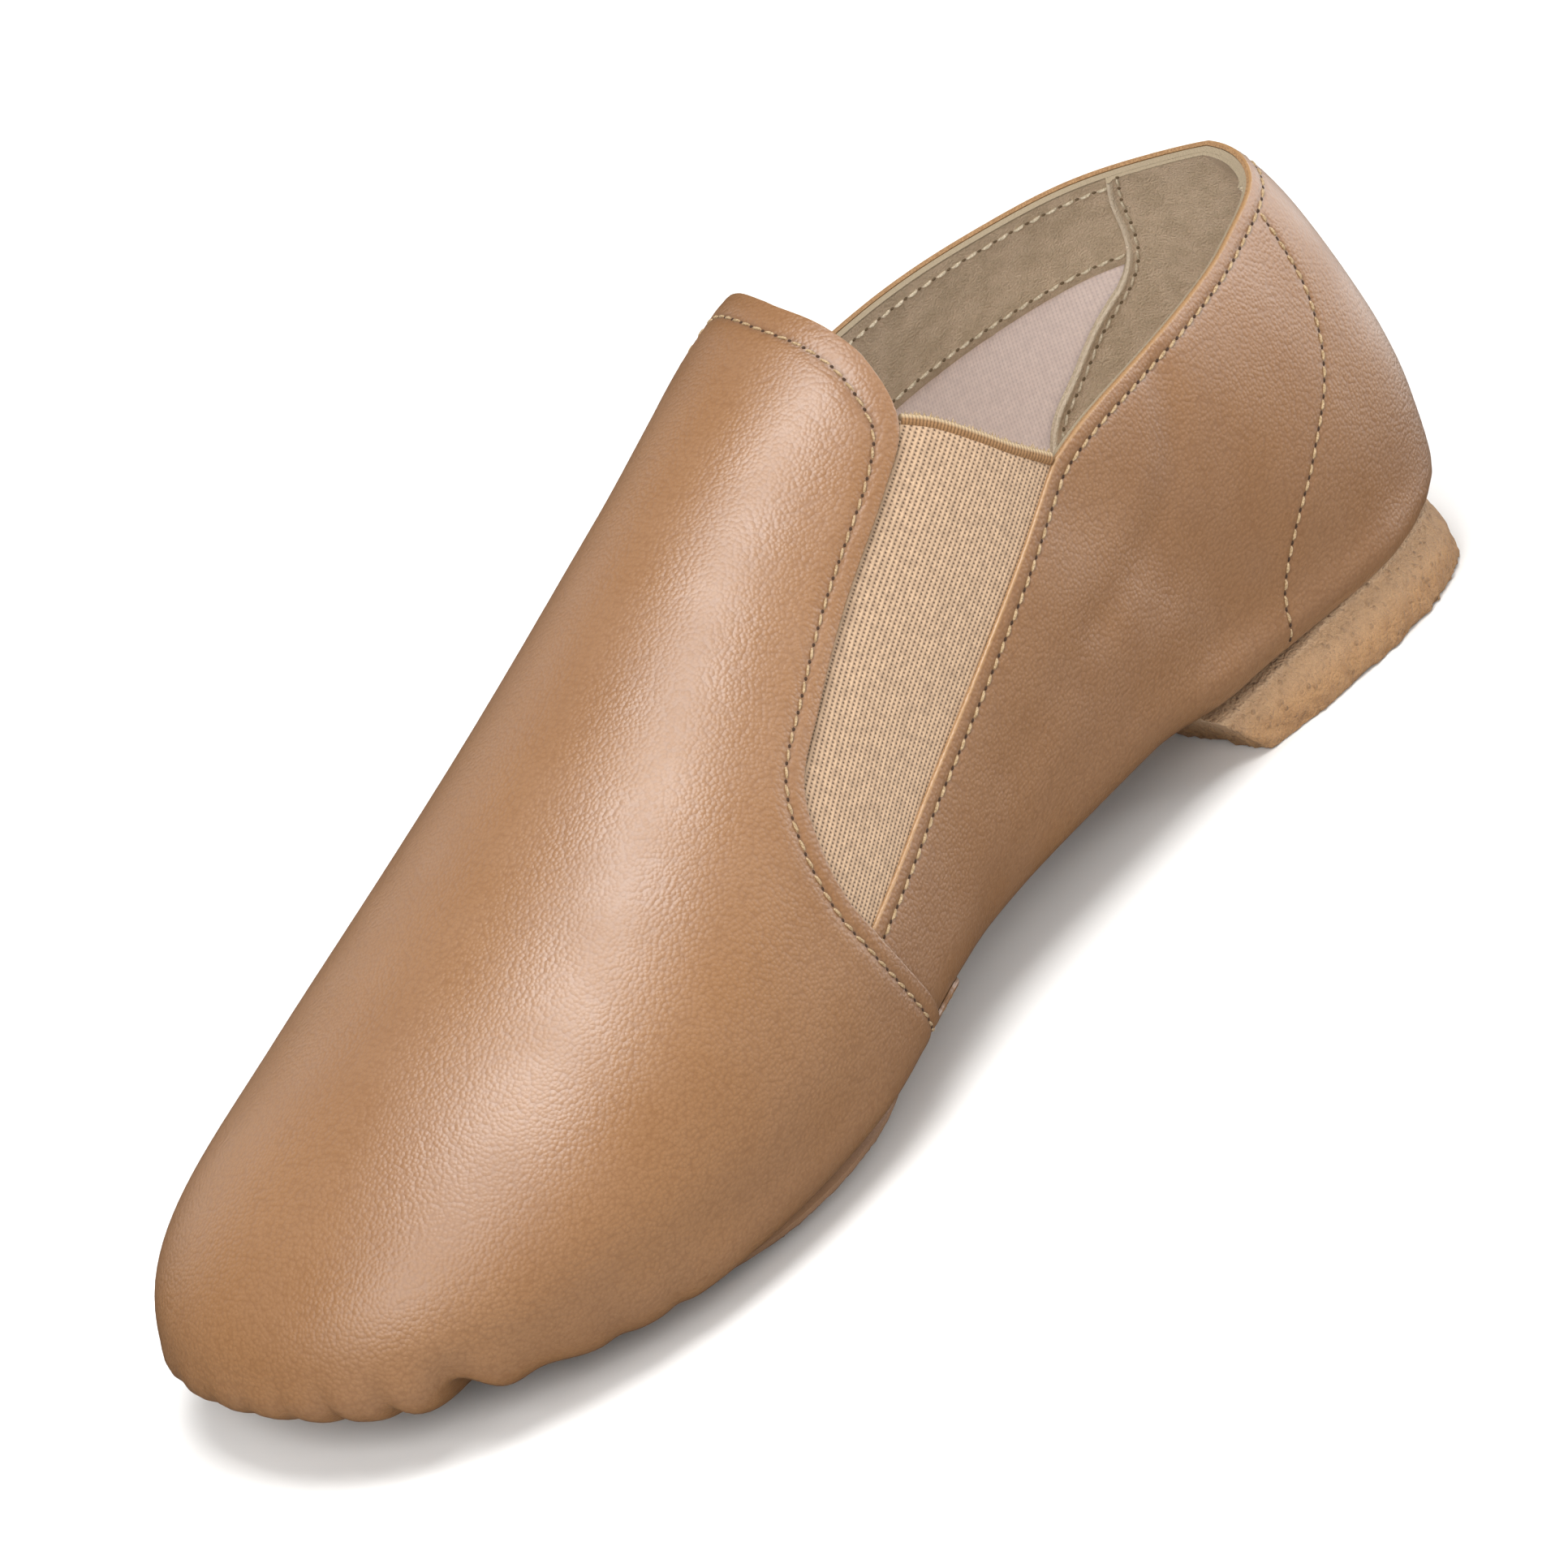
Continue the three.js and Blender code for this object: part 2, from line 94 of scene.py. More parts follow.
def curve_through(points: Sequence[Sequence[float]], pieces: int) -> Array:
    """Smooth line through points.

    Args:
        points: rows of coordinates.
        pieces: number of straight pieces of the line.

    Returns:
        Rows of coordinates, one more than the pieces.
    """
    knots = np.asarray(points, float)
    last = len(knots) - 1
    where = np.linspace(0.0, last, pieces + 1)
    k = np.minimum(where.astype(int), last - 1)
    u = (where - k)[:, None]
    before = knots[np.maximum(k - 1, 0)]
    start = knots[k]
    end = knots[k + 1]
    after = knots[np.minimum(k + 2, last)]
    slope_in = (end - before) / 2
    slope_out = (after - start) / 2
    return ((2 * start - 2 * end + slope_in + slope_out) * u ** 3
            + (-3 * start + 3 * end - 2 * slope_in - slope_out) * u ** 2 + slope_in * u + start)


def lengths_along(points: Array) -> Array:
    """Length from the first point of a line to each of its points."""
    steps = np.linalg.norm(np.diff(points, axis=0), axis=1)
    return np.concatenate([[0.0], np.cumsum(steps)])


def unit(vectors: Array) -> Array:
    """Vectors scaled to length 1."""
    return vectors / np.maximum(np.linalg.norm(vectors, axis=-1, keepdims=True), 1e-12)


def rows_at(where: Array, run: Array, rows: Array) -> Array:
    """Rows read in between at places of a run."""
    return np.stack([np.interp(where, run, rows[:, k]) for k in range(rows.shape[1])], axis=1)


def tree_of(points: Array) -> kdtree.KDTree:
    """Search tree of points.

    Args:
        points: rows of coordinates.

    Returns:
        The tree.
    """
    tree = kdtree.KDTree(len(points))
    for i, point in enumerate(points):
        tree.insert(point, i)
    tree.balance()
    return tree


# ---- the last

SECTION_COLUMNS = ("at", "ball", "lateral", "medial", "swing", "heel", "spring", "crest", "widest", "under",
                   "over")
SECTIONS = (
    (0.00, 0.0, 0.000, 0.000, 0.071, 1.00, 0.00, 1.038, 0.227, 4.5, 2.0),
    (0.08, 0.0, 0.301, 0.280, 0.040, 1.00, 0.00, 0.955, 0.223, 4.5, 1.8),
    (0.20, 0.0, 0.495, 0.500, -0.010, 1.00, 0.00, 0.916, 0.212, 4.5, 1.8),
    (0.30, 0.2, 0.505, 0.518, -0.040, 1.00, 0.00, 0.996, 0.204, 4.0, 2.1),
    (0.40, 0.3, 0.502, 0.491, -0.027, 0.95, 0.00, 1.022, 0.217, 3.4, 2.3),
    (0.50, 0.4, 0.507, 0.480, -0.011, 0.73, 0.00, 0.805, 0.251, 3.2, 2.1),
    (0.60, 0.9, 0.516, 0.493, 0.007, 0.12, 0.00, 0.511, 0.303, 3.8, 2.0),
    (0.72, 1.0, 0.489, 0.495, -0.010, 0.00, 0.03, 0.177, 0.359, 4.2, 2.0),
    (0.86, 1.0, 0.320, 0.362, -0.060, 0.00, 0.43, 0.000, 0.305, 3.2, 2.0),
    (1.00, 1.0, 0.000, 0.000, -0.094, 0.00, 1.00, -0.036, 0.140, 2.6, 2.0),
)
TABLE_STATIONS = 360
TABLE_SHARES = 200
TABLE_TURNS = 241


@dataclass
class Last:
    """The foot form that every piece is wrapped on. Sizes in mm, shares as in its section table."""

    length: float = 250.0
    ball_width: float = 82.0
    heel_width: float = 64.4
    instep_height: float = 96.0
    toe_height: float = 40.2
    toe_spring: float = 7.5
    back_height: float = 71.5
    fore_bottom: float = 2.55
    heel_bottom: float = 9.6
    heel_axis: float = 0.144
    toe_axis: float = 0.828
    axis_blend: float = 0.056
    rows: Array = field(default_factory=lambda: np.array(SECTIONS))

    def __post_init__(self) -> None:
        """Tabulates turns and normals by station and by share of the girth."""
        self.slopes = np.stack([self._slopes(self.rows[:, i]) for i in range(len(SECTION_COLUMNS))], axis=1)
        stations = np.linspace(0.0, 1.0, TABLE_STATIONS + 1)
        turns = np.linspace(-math.pi / 2, math.pi / 2, TABLE_TURNS)
        shares = np.linspace(0.0, 1.0, TABLE_SHARES + 1)
        self.share_grid = shares
        self.turns: Dict[int, Array] = {}
        grids = {}
        for side in (1, -1):
            girth = self.point(stations[:, None], side, turns[None, :])
            steps = np.linalg.norm(np.diff(girth, axis=1), axis=2)
            run = np.concatenate([np.zeros((len(stations), 1)), np.cumsum(steps, axis=1)], axis=1)
            run /= run[:, -1:]
            self.turns[side] = np.stack([np.interp(shares, run[i], turns) for i in range(len(stations))])
            grids[side] = self.point(stations[:, None], side, self.turns[side])
        ring = np.concatenate([grids[1], grids[-1][:, -2::-1]], axis=1)
        self.ring_turns = np.concatenate([self.turns[1], self.turns[-1][:, -2::-1]], axis=1)
        self.ring_normals = self._normals(ring)

    def _slopes(self, values: Array) -> Array:
        """Slopes of a cubic through one column of the table.

        Args:
            values: the column.

        Returns:
            A slope for each row.
        """
        step = np.diff(self.rows[:, 0])
        rise = np.diff(values) / step
        inner = (rise[:-1] * step[1:] + rise[1:] * step[:-1]) / (step[:-1] + step[1:])
        return np.concatenate([[2 * rise[0] - inner[0]], inner, [2 * rise[-1] - inner[-1]]])

    @staticmethod
    def _normals(ring: Array) -> Array:
        """Outward normals of the closed ring grid, its end ribs shared by both sides.

        Args:
            ring: points of the closed ring grid.

        Returns:
            Unit normals, one for each point.
        """
        first = ring[1:, 1:] - ring[:-1, :-1]
        second = ring[:-1, 1:] - ring[1:, :-1]
        face = np.cross(first, second)
        normal = np.zeros_like(ring)
        for i in (slice(None, -1), slice(1, None)):
            for j in (slice(None, -1), slice(1, None)):
                normal[i, j] += face
        normal[:, 0] += normal[:, -1]
        normal[:, -1] = normal[:, 0]
        for end in (0, -1):
            normal[end] = normal[end] + normal[end, ::-1]
        normal = unit(normal)
        middle = ring[len(ring) // 2]
        outward = np.sum(normal[len(ring) // 2] * (middle - middle.mean(axis=0)))
        return normal if outward > 0 else -normal

    def column(self, name: str, t: Array) -> Array:
        """Value of one column of the table at t, a cubic through its rows.

        Args:
            name: the column.
            t: stations.

        Returns:
            Its values.
        """
        i = SECTION_COLUMNS.index(name)
        at = self.rows[:, 0]
        k = np.clip(np.searchsorted(at, t, side="left") - 1, 0, len(at) - 2)
        h = at[k + 1] - at[k]
        u = (t - at[k]) / h
        v = 1 - u
        values = self.rows[:, i]
        slopes = self.slopes[:, i]
        return ((1 + 2 * u) * v * v * values[k] + u * v * v * h * slopes[k]
                + u * u * (3 - 2 * u) * values[k + 1] - u * u * v * h * slopes[k + 1])

    def along(self, t: Array) -> Array:
        """Distance from the heel along the last at t."""
        return self.length * (1 - np.cos(np.pi * t)) / 2

    def station(self, x: Array) -> Array:
        """The t at a distance x along the last."""
        return np.arccos(np.clip(1 - 2 * np.asarray(x, float) / self.length, -1, 1)) / np.pi

    def spine(self, x: Array) -> Array:
        """Where on the spine the section that ends at x starts.

        Args:
            x: distances from the heel, mm.

        Returns:
            Distances of their starts on the spine.
        """
        k = self.axis_blend * self.length
        ahead = self.heel_axis * self.length + k * np.log1p(np.exp((x - self.heel_axis * self.length) / k))
        return self.toe_axis * self.length - k * np.log1p(np.exp((self.toe_axis * self.length - ahead) / k))

    def bottom(self, t: Array) -> Array:
        """Height of the bottom line at t."""
        rise = lerp(self.fore_bottom, self.heel_bottom, self.column("heel", t))
        return rise + self.column("spring", t) * self.toe_spring

    def crest(self, t: Array) -> Array:
        """Height of the crest at t."""
        return lerp(self.toe_height, self.instep_height, self.column("crest", t))

    def widest(self, t: Array) -> Array:
        """Height of the widest place at t."""
        return lerp(self.bottom(t), self.crest(t), self.column("widest", t))

    def swing(self, t: Array) -> Array:
        """Shift of the centre line towards the lateral side at t."""
        return self.column("swing", t) * self.ball_width

    def half_width(self, t: Array, side: Array) -> Array:
        """Half width at t on a side, +1 lateral or -1 medial."""
        share = np.where(np.asarray(side) > 0, self.column("lateral", t), self.column("medial", t))
        return share * lerp(self.heel_width, self.ball_width, self.column("ball", t))

    def point(self, t: Array, side: Array, turn: Array) -> Array:
        """Point of the last at a polar turn from -90 degrees (bottom line) to 90 degrees (crest).

        Args:
            t: stations.
            side: +1 lateral or -1 medial.
            turn: polar turns, radians.

        Returns:
            Points in mm.
        """
        power = np.where(turn < 0, self.column("under", t), self.column("over", t))
        c = np.maximum(np.cos(turn), 0.0)
        s = np.abs(np.sin(turn))
        reach = (c ** power + s ** power) ** (-1 / power)
        return self._place(t, side, reach * c, reach * s, turn < 0)

    def _place(self, t: Array, side: Array, out: Array, up: Array, low: Array) -> Array:
        """Point at shares out and up of a section, on its lower or upper half.

        Args:
            t: stations.
            side: +1 lateral or -1 medial.
            out: shares of the way to the rim.
            up: shares of the way up or down.
            low: whether on the lower half.

        Returns:
            Points in mm.
        """
        x = self.along(t)
        spine = self.spine(x)
        rim = self.swing(t) + side * self.half_width(t, side)
        root = self.swing(self.station(spine))
        px = lerp(spine, x, out)
        py = lerp(root, rim, out)
        here = self.station(px)
        pz = lerp(self.widest(t), np.where(low, self.bottom(here), self.crest(here)), up)
        return np.stack(np.broadcast_arrays(px, py, pz), axis=-1)

    def _look_up(self, table: Array, t: Array, g: Array) -> Array:
        """Bilinear value of a table over stations and the ring.

        Args:
            table: the table.
            t: stations.
            g: ring values.

        Returns:
            Its values.
        """
        i = np.clip(t, 0, 1) * TABLE_STATIONS
        j = np.mod(g, 2.0) * TABLE_SHARES
        j = np.where((np.asarray(g) > 1) & (j == 0), 2 * TABLE_SHARES, j)
        i0 = np.minimum(i.astype(int), TABLE_STATIONS - 1)
        j0 = np.minimum(j.astype(int), 2 * TABLE_SHARES - 1)
        u = i - i0
        v = j - j0
        if table.ndim == 3:
            u = u[..., None]
            v = v[..., None]
        return ((1 - u) * ((1 - v) * table[i0, j0] + v * table[i0, j0 + 1])
                + u * ((1 - v) * table[i0 + 1, j0] + v * table[i0 + 1, j0 + 1]))

    def sample(self, t: Array, g: Array) -> Tuple[Array, Array]:
        """Points and normals on the last.

        Args:
            t: stations from 0 at the heel to 1 at the toe.
            g: round the girth, 0 at the bottom line, 1 at the crest, 2 at the bottom line again; the
                lateral side comes first. Values outside 0 to 2 go on round.

        Returns:
            Points in mm and unit normals.
        """
        t = np.asarray(t, float)
        g = np.asarray(g, float)
        around = np.mod(g, 2.0)
        around = np.where((g > 1) & (around == 0), 2.0, around)
        side = np.where(around <= 1, 1, -1)
        turn = self._look_up(self.ring_turns, t, g)
        return self.point(t, side, turn), unit(self._look_up(self.ring_normals, t, g))

    def ring_at(self, t: Array, side: int, turn: Array) -> Array:
        """Ring value of a polar turn at t on a side.

        Args:
            t: stations.
            side: +1 lateral or -1 medial.
            turn: polar turns, radians.

        Returns:
            Ring values.
        """
        found = []
        for station, angle in zip(np.atleast_1d(t), np.atleast_1d(turn)):
            i = min(int(station * TABLE_STATIONS), TABLE_STATIONS - 1)
            u = station * TABLE_STATIONS - i
            row = (1 - u) * self.turns[side][i] + u * self.turns[side][i + 1]
            share = float(np.interp(angle, row, self.share_grid))
            found.append(share if side > 0 else 2 - share)
        return np.array(found)

    def at_side(self, x: Array, z: Array, side: int) -> Tuple[Array, Array]:
        """Station and ring value of a point seen from the side, where the sections stand parallel.

        Args:
            x: distances from the heel, mm.
            z: heights, mm.
            side: +1 lateral or -1 medial.

        Returns:
            Stations and ring values.
        """
        t = self.station(x)
        widest = self.widest(t)
        low = z < widest
        end = np.where(low, self.bottom(t), self.crest(t))
        up = np.clip((z - widest) / (end - widest), 0, 1)
        power = np.where(low, self.column("under", t), self.column("over", t))
        out = np.maximum(1 - up ** power, 0) ** (1 / power)
        return t, self.ring_at(t, side, np.arctan2(np.where(low, -up, up), out))

    def at_plan(self, x: Array, y: Array, upper: bool = False) -> Tuple[Array, Array]:
        """Station and ring value of a point of the underside (or crest) seen in plan.

        Args:
            x: distances from the heel, mm.
            y: places across, mm.
            upper: whether on the crest.

        Returns:
            Stations and ring values.
        """
        x = np.asarray(x, float)
        y = np.asarray(y, float)
        t = self.station(x)
        for _ in range(6):
            spine = self.spine(self.along(t))
            root = self.swing(self.station(spine))
            side = np.where(y >= root, 1, -1)
            rim = self.swing(t) + side * self.half_width(t, side)
            out = np.clip((y - root) / (rim - root), 0, 0.999)
            t = self.station(self.along(t) + (x - lerp(spine, self.along(t), out)))
        power = self.column("over" if upper else "under", t)
        up = (1 - out ** power) ** (1 / power)
        turn = np.arctan2(up if upper else -up, out)
        ring = np.array([self.ring_at(ti, si, ai)[0] for ti, si, ai in zip(t, side, turn)])
        return t, ring

    def ring_of_height(self, t: Array, side: int, height: Callable[[Array], Array]) -> Array:
        """Ring values where the sections at t cross a line seen from the side, given as z of x.

        Args:
            t: stations.
            side: +1 lateral or -1 medial.
            height: the line, z of x.

        Returns:
            Ring values.
        """
        low = np.full(len(t), 0.12)
        high = np.full(len(t), 0.999)
        for _ in range(32):
            middle = (low + high) / 2
            points, _ = self.sample(t, middle if side > 0 else 2 - middle)
            above = points[:, 2] > height(points[:, 0])
            high = np.where(above, middle, high)
            low = np.where(above, low, middle)
        return low if side > 0 else 2 - low


LAST = Last()

# ---- lines on the last

# Shares of the length, and of the instep height or of the fall from the back of the collar
COLLAR = ((0.0, 0.0), (0.02, 0.05), (0.07, 0.3), (0.13, 0.57), (0.21, 0.74), (0.28, 0.82), (0.318, 1.0))
QUARTER_EDGE = ((0.318, 0.669), (0.366, 0.609), (0.463, 0.4875), (0.547, 0.402), (0.61, 0.35))
GORE_TOP = ((0.318, 0.669), (0.341, 0.726), (0.356, 0.77), (0.376, 0.827), (0.392, 0.859))
# Edge of the vamp seen from the side, from the crest of the tongue to the side of the sole
TONGUE_TOP = ((0.375, 0.991), (0.377, 0.975), (0.381, 0.93), (0.385, 0.895))
# The tongue reaches further back on its medial side, to a corner
TONGUE_MEDIAL = ((0.351, 0.961), (0.356, 0.925), (0.378, 0.878), (0.404, 0.834), (0.432, 0.795))
VAMP_EDGE = ((0.396, 0.853), (0.432, 0.795), (0.495, 0.714), (0.552, 0.636), (0.594, 0.575), (0.612, 0.5),
             (0.616, 0.417), (0.61, 0.35), (0.604, 0.302), (0.588, 0.203), (0.574, 0.13))
ARCH_MIDDLE = 0.484
ARCH_SIDE = 0.576
QUARTER_END = 158.0


@dataclass
class Seam:
    """A line on the last, with its points, its way and the direction into the piece that it bounds."""

    stations: Array
    ring: Array
    flip: bool = False

    def __post_init__(self) -> None:
        """Works out points, normals and inward directions."""
        self.points, self.normals = LAST.sample(self.stations, self.ring)
        way = unit(np.gradient(self.points, axis=0))
        self.inward = unit(np.cross(self.normals, way)) * (-1 if self.flip else 1)
        self.run = lengths_along(self.points)
        self.tree = tree_of(self.points)

    def offset(self, distance: Array) -> Tuple[Array, Array]:
        """Stations and ring values of a line beside this one, at a distance inwards.

        Args:
            distance: distance at each point, or one for all, mm.

        Returns:
            Stations and ring values.
        """
        target = self.points + np.broadcast_to(distance, self.run.shape)[:, None] * self.inward
        t, g = self.stations.copy(), self.ring.copy()
        step = 1e-4
        for _ in range(5):
            here = LAST.sample(t, g)[0]
            ahead = np.where(t > 0.5, -step, step)
            by_t = (LAST.sample(t + ahead, g)[0] - here) / ahead[:, None]
            by_g = (LAST.sample(t, g + step)[0] - here) / step
            away = target - here
            tt, tg, gg = (np.sum(p * q, axis=1) for p, q in ((by_t, by_t), (by_t, by_g), (by_g, by_g)))
            at, ag = np.sum(by_t * away, axis=1), np.sum(by_g * away, axis=1)
            whole = np.maximum(tt * gg - tg * tg, 1e-6)
            t = np.clip(t + np.clip((at * gg - ag * tg) / whole, -0.02, 0.02), 0, 1)
            g = g + np.clip((ag * tt - at * tg) / whole, -0.05, 0.05)
        return t, g

    def nearest(self, points: Array) -> Tuple[Array, Array]:
        """Signed distance to the line, positive inwards, and the length along it of the nearest place.

        Args:
            points: points in mm.

        Returns:
            Distances and lengths, mm.
        """
        found = np.array([self.tree.find(point)[1] for point in points])
        best = np.full(len(points), 1e9)
        offset = np.zeros((len(points), 3))
        run = self.run[found]
        for shift in (-1, 0):
            i = np.clip(found + shift, 0, len(self.points) - 2)
            start = self.points[i]
            step = self.points[i + 1] - start
            square = np.maximum(np.sum(step * step, axis=1), 1e-12)
            share = np.clip(np.sum((points - start) * step, axis=1) / square, 0, 1)
            away = points - (start + share[:, None] * step)
            distance = np.linalg.norm(away, axis=1)
            closer = distance < best
            best = np.where(closer, distance, best)
            offset = np.where(closer[:, None], away, offset)
            run = np.where(closer, lerp(self.run[i], self.run[i + 1], share), run)
        sign = np.where(np.sum(offset * self.inward[found], axis=1) < 0, -1.0, 1.0)
        return best * sign, run


def even(t: Array, g: Array, spacing: float = 0.4) -> Tuple[Array, Array]:
    """Stations and ring values of a line, spaced evenly in mm.

    Args:
        t: stations.
        g: ring values.
        spacing: spacing, mm.

    Returns:
        Stations and ring values.
    """
    points, _ = LAST.sample(t, g)
    run = lengths_along(points)
    where = np.linspace(0.0, run[-1], max(int(run[-1] / spacing), 8) + 1)
    return np.interp(where, run, t), np.interp(where, run, g)


def side_points(rows: Sequence[Tuple[float, float]], side: int = 1) -> Tuple[Array, Array]:
    """Stations and ring values of rows given as shares of the length and of the instep height."""
    table = np.array(rows)
    return LAST.at_side(table[:, 0] * LAST.length, table[:, 1] * LAST.instep_height, side)


def mirrored(t: Array, g: Array) -> Tuple[Array, Array]:
    """A lateral line that ends at the crest or at the heel's rib, carried on over the medial side."""
    return np.concatenate([t, t[-2::-1]]), np.concatenate([g, 2 - g[-2::-1]])


def vamp_edge() -> Seam:
    """Rear edge of the vamp: under the arch, up the side along the gore and over the tongue.

    Returns:
        The line.
    """
    arch = np.linspace(0.0, 0.84, 6)
    x = lerp(ARCH_MIDDLE, ARCH_SIDE, arch ** 2) * LAST.length
    t_arch, g_arch = LAST.at_plan(x, arch * LAST.ball_width / 2 + 0.01)
    g_arch[0] = 0.0
    t_side, g_side = side_points(TONGUE_TOP[::-1])
    t_edge, g_edge = side_points(VAMP_EDGE[::-1])
    lateral = np.stack([np.concatenate([t_arch, t_edge, t_side[1:-1]]),
                        np.concatenate([g_arch, g_edge, g_side[1:-1]])], axis=1)
    t_top, g_top = LAST.at_plan([93.6, 91.9, 89.6], [0.3, -6.5, -12.5], upper=True)
    t_back, g_back = side_points(TONGUE_MEDIAL, -1)
    medial = np.stack([np.concatenate([t_back, t_edge[-3::-1], t_arch[::-1]]),
                       np.concatenate([g_back, 2 - g_edge[-3::-1], 2 - g_arch[::-1]])], axis=1)
    line = curve_through(np.concatenate([lateral, np.stack([t_top, g_top], axis=1), medial]), 1400)
    return Seam(*even(line[:, 0], line[:, 1]))


def collar_height(x: Array) -> Array:
    """Height of the collar and of the quarter's front edge over x.

    Args:
        x: distances from the heel, mm.

    Returns:
        Heights, mm.
    """
    front = QUARTER_EDGE[0][1] * LAST.instep_height
    collar = np.array(COLLAR)
    heights = lerp(LAST.back_height, front, collar[:, 1])
    line = curve_through(np.stack([collar[:, 0] * LAST.length, heights], axis=1), 60)
    edge = curve_through(np.array(QUARTER_EDGE) * [LAST.length, LAST.instep_height], 60)
    far = [[QUARTER_END + 8, 30.5]]
    rows = np.concatenate([line[:-1], edge, far])
    return np.interp(x, rows[:, 0], rows[:, 1])


def quarter_edge(low: float = 0.0) -> Seam:
    """Edge of the quarters: from the bottom line up their hidden front end, back along the gore, round the
    collar and forward again on the medial side.

    Args:
        low: ring value at which it starts.

    Returns:
        The line.
    """
    corner = LAST.station(COLLAR[-1][0] * LAST.length)
    end = LAST.station(QUARTER_END)
    stations = np.concatenate([np.linspace(end, corner, 120), np.linspace(corner, 0.0, 260)[1:]])
    ring = LAST.ring_of_height(stations, 1, collar_height)
    front = np.linspace(low, ring[0], 60)[:-1]
    t = np.concatenate([np.full(len(front), end), stations])
    g = np.concatenate([front, ring])
    return Seam(*mirrored(*even(t, g)), flip=True)


def collar_line() -> Seam:
    """The collar alone, carried on a little at both ends.

    Returns:
        The line.
    """
    stations = np.linspace(LAST.station(COLLAR[-1][0] * LAST.length + 6), 0.0, 280)

    def height(x: Array) -> Array:
        """The collar, level in front of the quarter's corner."""
        return collar_height(np.minimum(x, COLLAR[-1][0] * LAST.length))

    ring = LAST.ring_of_height(stations, 1, height)
    return Seam(*mirrored(*even(stations, ring)), flip=True)


# Counter stitch line on each quarter, x and z in mm from the collar down
COUNTER_LINE = ((18.4, 69.5), (18.6, 64.5), (18.8, 60.6), (19.3, 55.6), (20.6, 51.6), (22.5, 47.6),
                (24.9, 44.3), (28.2, 41.0), (32.2, 37.8), (36.4, 34.2), (40.8, 30.6), (44.6, 26.6),
                (47.6, 22.4), (49.6, 18.0), (50.6, 13.6))
# Front edge of the counter lining inside, x and z in mm
COUNTER_LINING_EDGE = ((15.0, 71.0), (13.2, 64.5), (11.0, 57.0), (10.4, 52.2), (11.2, 47.7), (12.8, 44.9),
                       (15.4, 41.0), (19.6, 34.4), (23.6, 29.6), (26.0, 24.5), (27.6, 18.0), (28.6, 12.0))


def crossings(x: Array, z: Array, side: int) -> Tuple[Array, Array]:
    """Stations and ring values of places seen from the side, where the heel's sections fan out.

    Args:
        x: distances from the heel, mm.
        z: heights, mm.
        side: +1 lateral or -1 medial.

    Returns:
        Stations and ring values.
    """
    low = np.zeros(len(x))
    high = LAST.station(x + 30.0)
    ring = low
    for _ in range(30):
        middle = (low + high) / 2
        ring = LAST.ring_of_height(middle, side, lambda value: z)
        beyond = LAST.sample(middle, ring)[0][:, 0] > x
        high = np.where(beyond, middle, high)
        low = np.where(beyond, low, middle)
    return middle, ring


def side_line(rows: Sequence[Tuple[float, float]], side: int, flip: bool = False) -> Seam:
    """Line on one side of the heel, given as x and z in mm.

    Args:
        rows: its x and z from above.
        side: +1 lateral or -1 medial.
        flip: whether it bounds the piece behind it.

    Returns:
        The line.
    """
    table = np.array(rows)
    places = np.stack(crossings(table[:, 0], table[:, 1], side), axis=1)
    line = curve_through(places, 200)
    return Seam(*even(line[:, 0], line[:, 1]), flip=flip)


# ---- relief of the soft upper


@dataclass(frozen=True)
class Crease:
    """A soft trough (or ridge, where depth is negative) along a line seen from one side, in mm."""

    side: Side
    line: Tuple[Tuple[float, float], ...]
    width: float
    depth: float


CREASES = (
    # The broad hollow of the quarter below the collar, from the gore down to the heel block
    Crease(Side.LATERAL, ((80, 56), (70, 43), (62, 30), (58, 18)), 9.0, 0.9),
    Crease(Side.MEDIAL, ((74, 56), (66, 42), (60, 30)), 10.0, 0.8),
    # The narrow fold in it that runs forward to the ball, with a ridge above
    Crease(Side.LATERAL, ((54, 62), (60, 51.5), (66, 46), (76, 42), (86, 40.5)), 3.6, 0.38),
    Crease(Side.LATERAL, ((59, 58), (66, 50), (76, 46.5)), 3.6, -0.2),
    Crease(Side.LATERAL, ((86, 40), (100, 36), (113, 33)), 4.2, 0.3),
    Crease(Side.LATERAL, ((70, 36), (80, 33), (92, 32)), 3.6, 0.22),
    # A swell behind it, over the counter
    Crease(Side.LATERAL, ((50, 62), (44, 46), (40, 32)), 9.0, -0.6),
    # The sag of the shank between heel and ball
    Crease(Side.LATERAL, ((66, 22), (84, 24), (104, 22), (124, 19)), 6.0, 0.7),
    Crease(Side.MEDIAL, ((80, 26), (104, 22), (130, 20)), 8.0, 0.9),
    # Soft hollows of the vamp beside the ball
    Crease(Side.LATERAL, ((160, 40), (176, 33), (196, 27)), 9.0, 0.5),
    Crease(Side.LATERAL, ((168, 14), (186, 13), (200, 13)), 5.0, 0.5),
)


@dataclass(frozen=True)
class Pleat:
    """A fold at the toe: its bearing from the middle of the patch's front, its depth and its half width."""

    bearing: float
    depth: float
    width: float


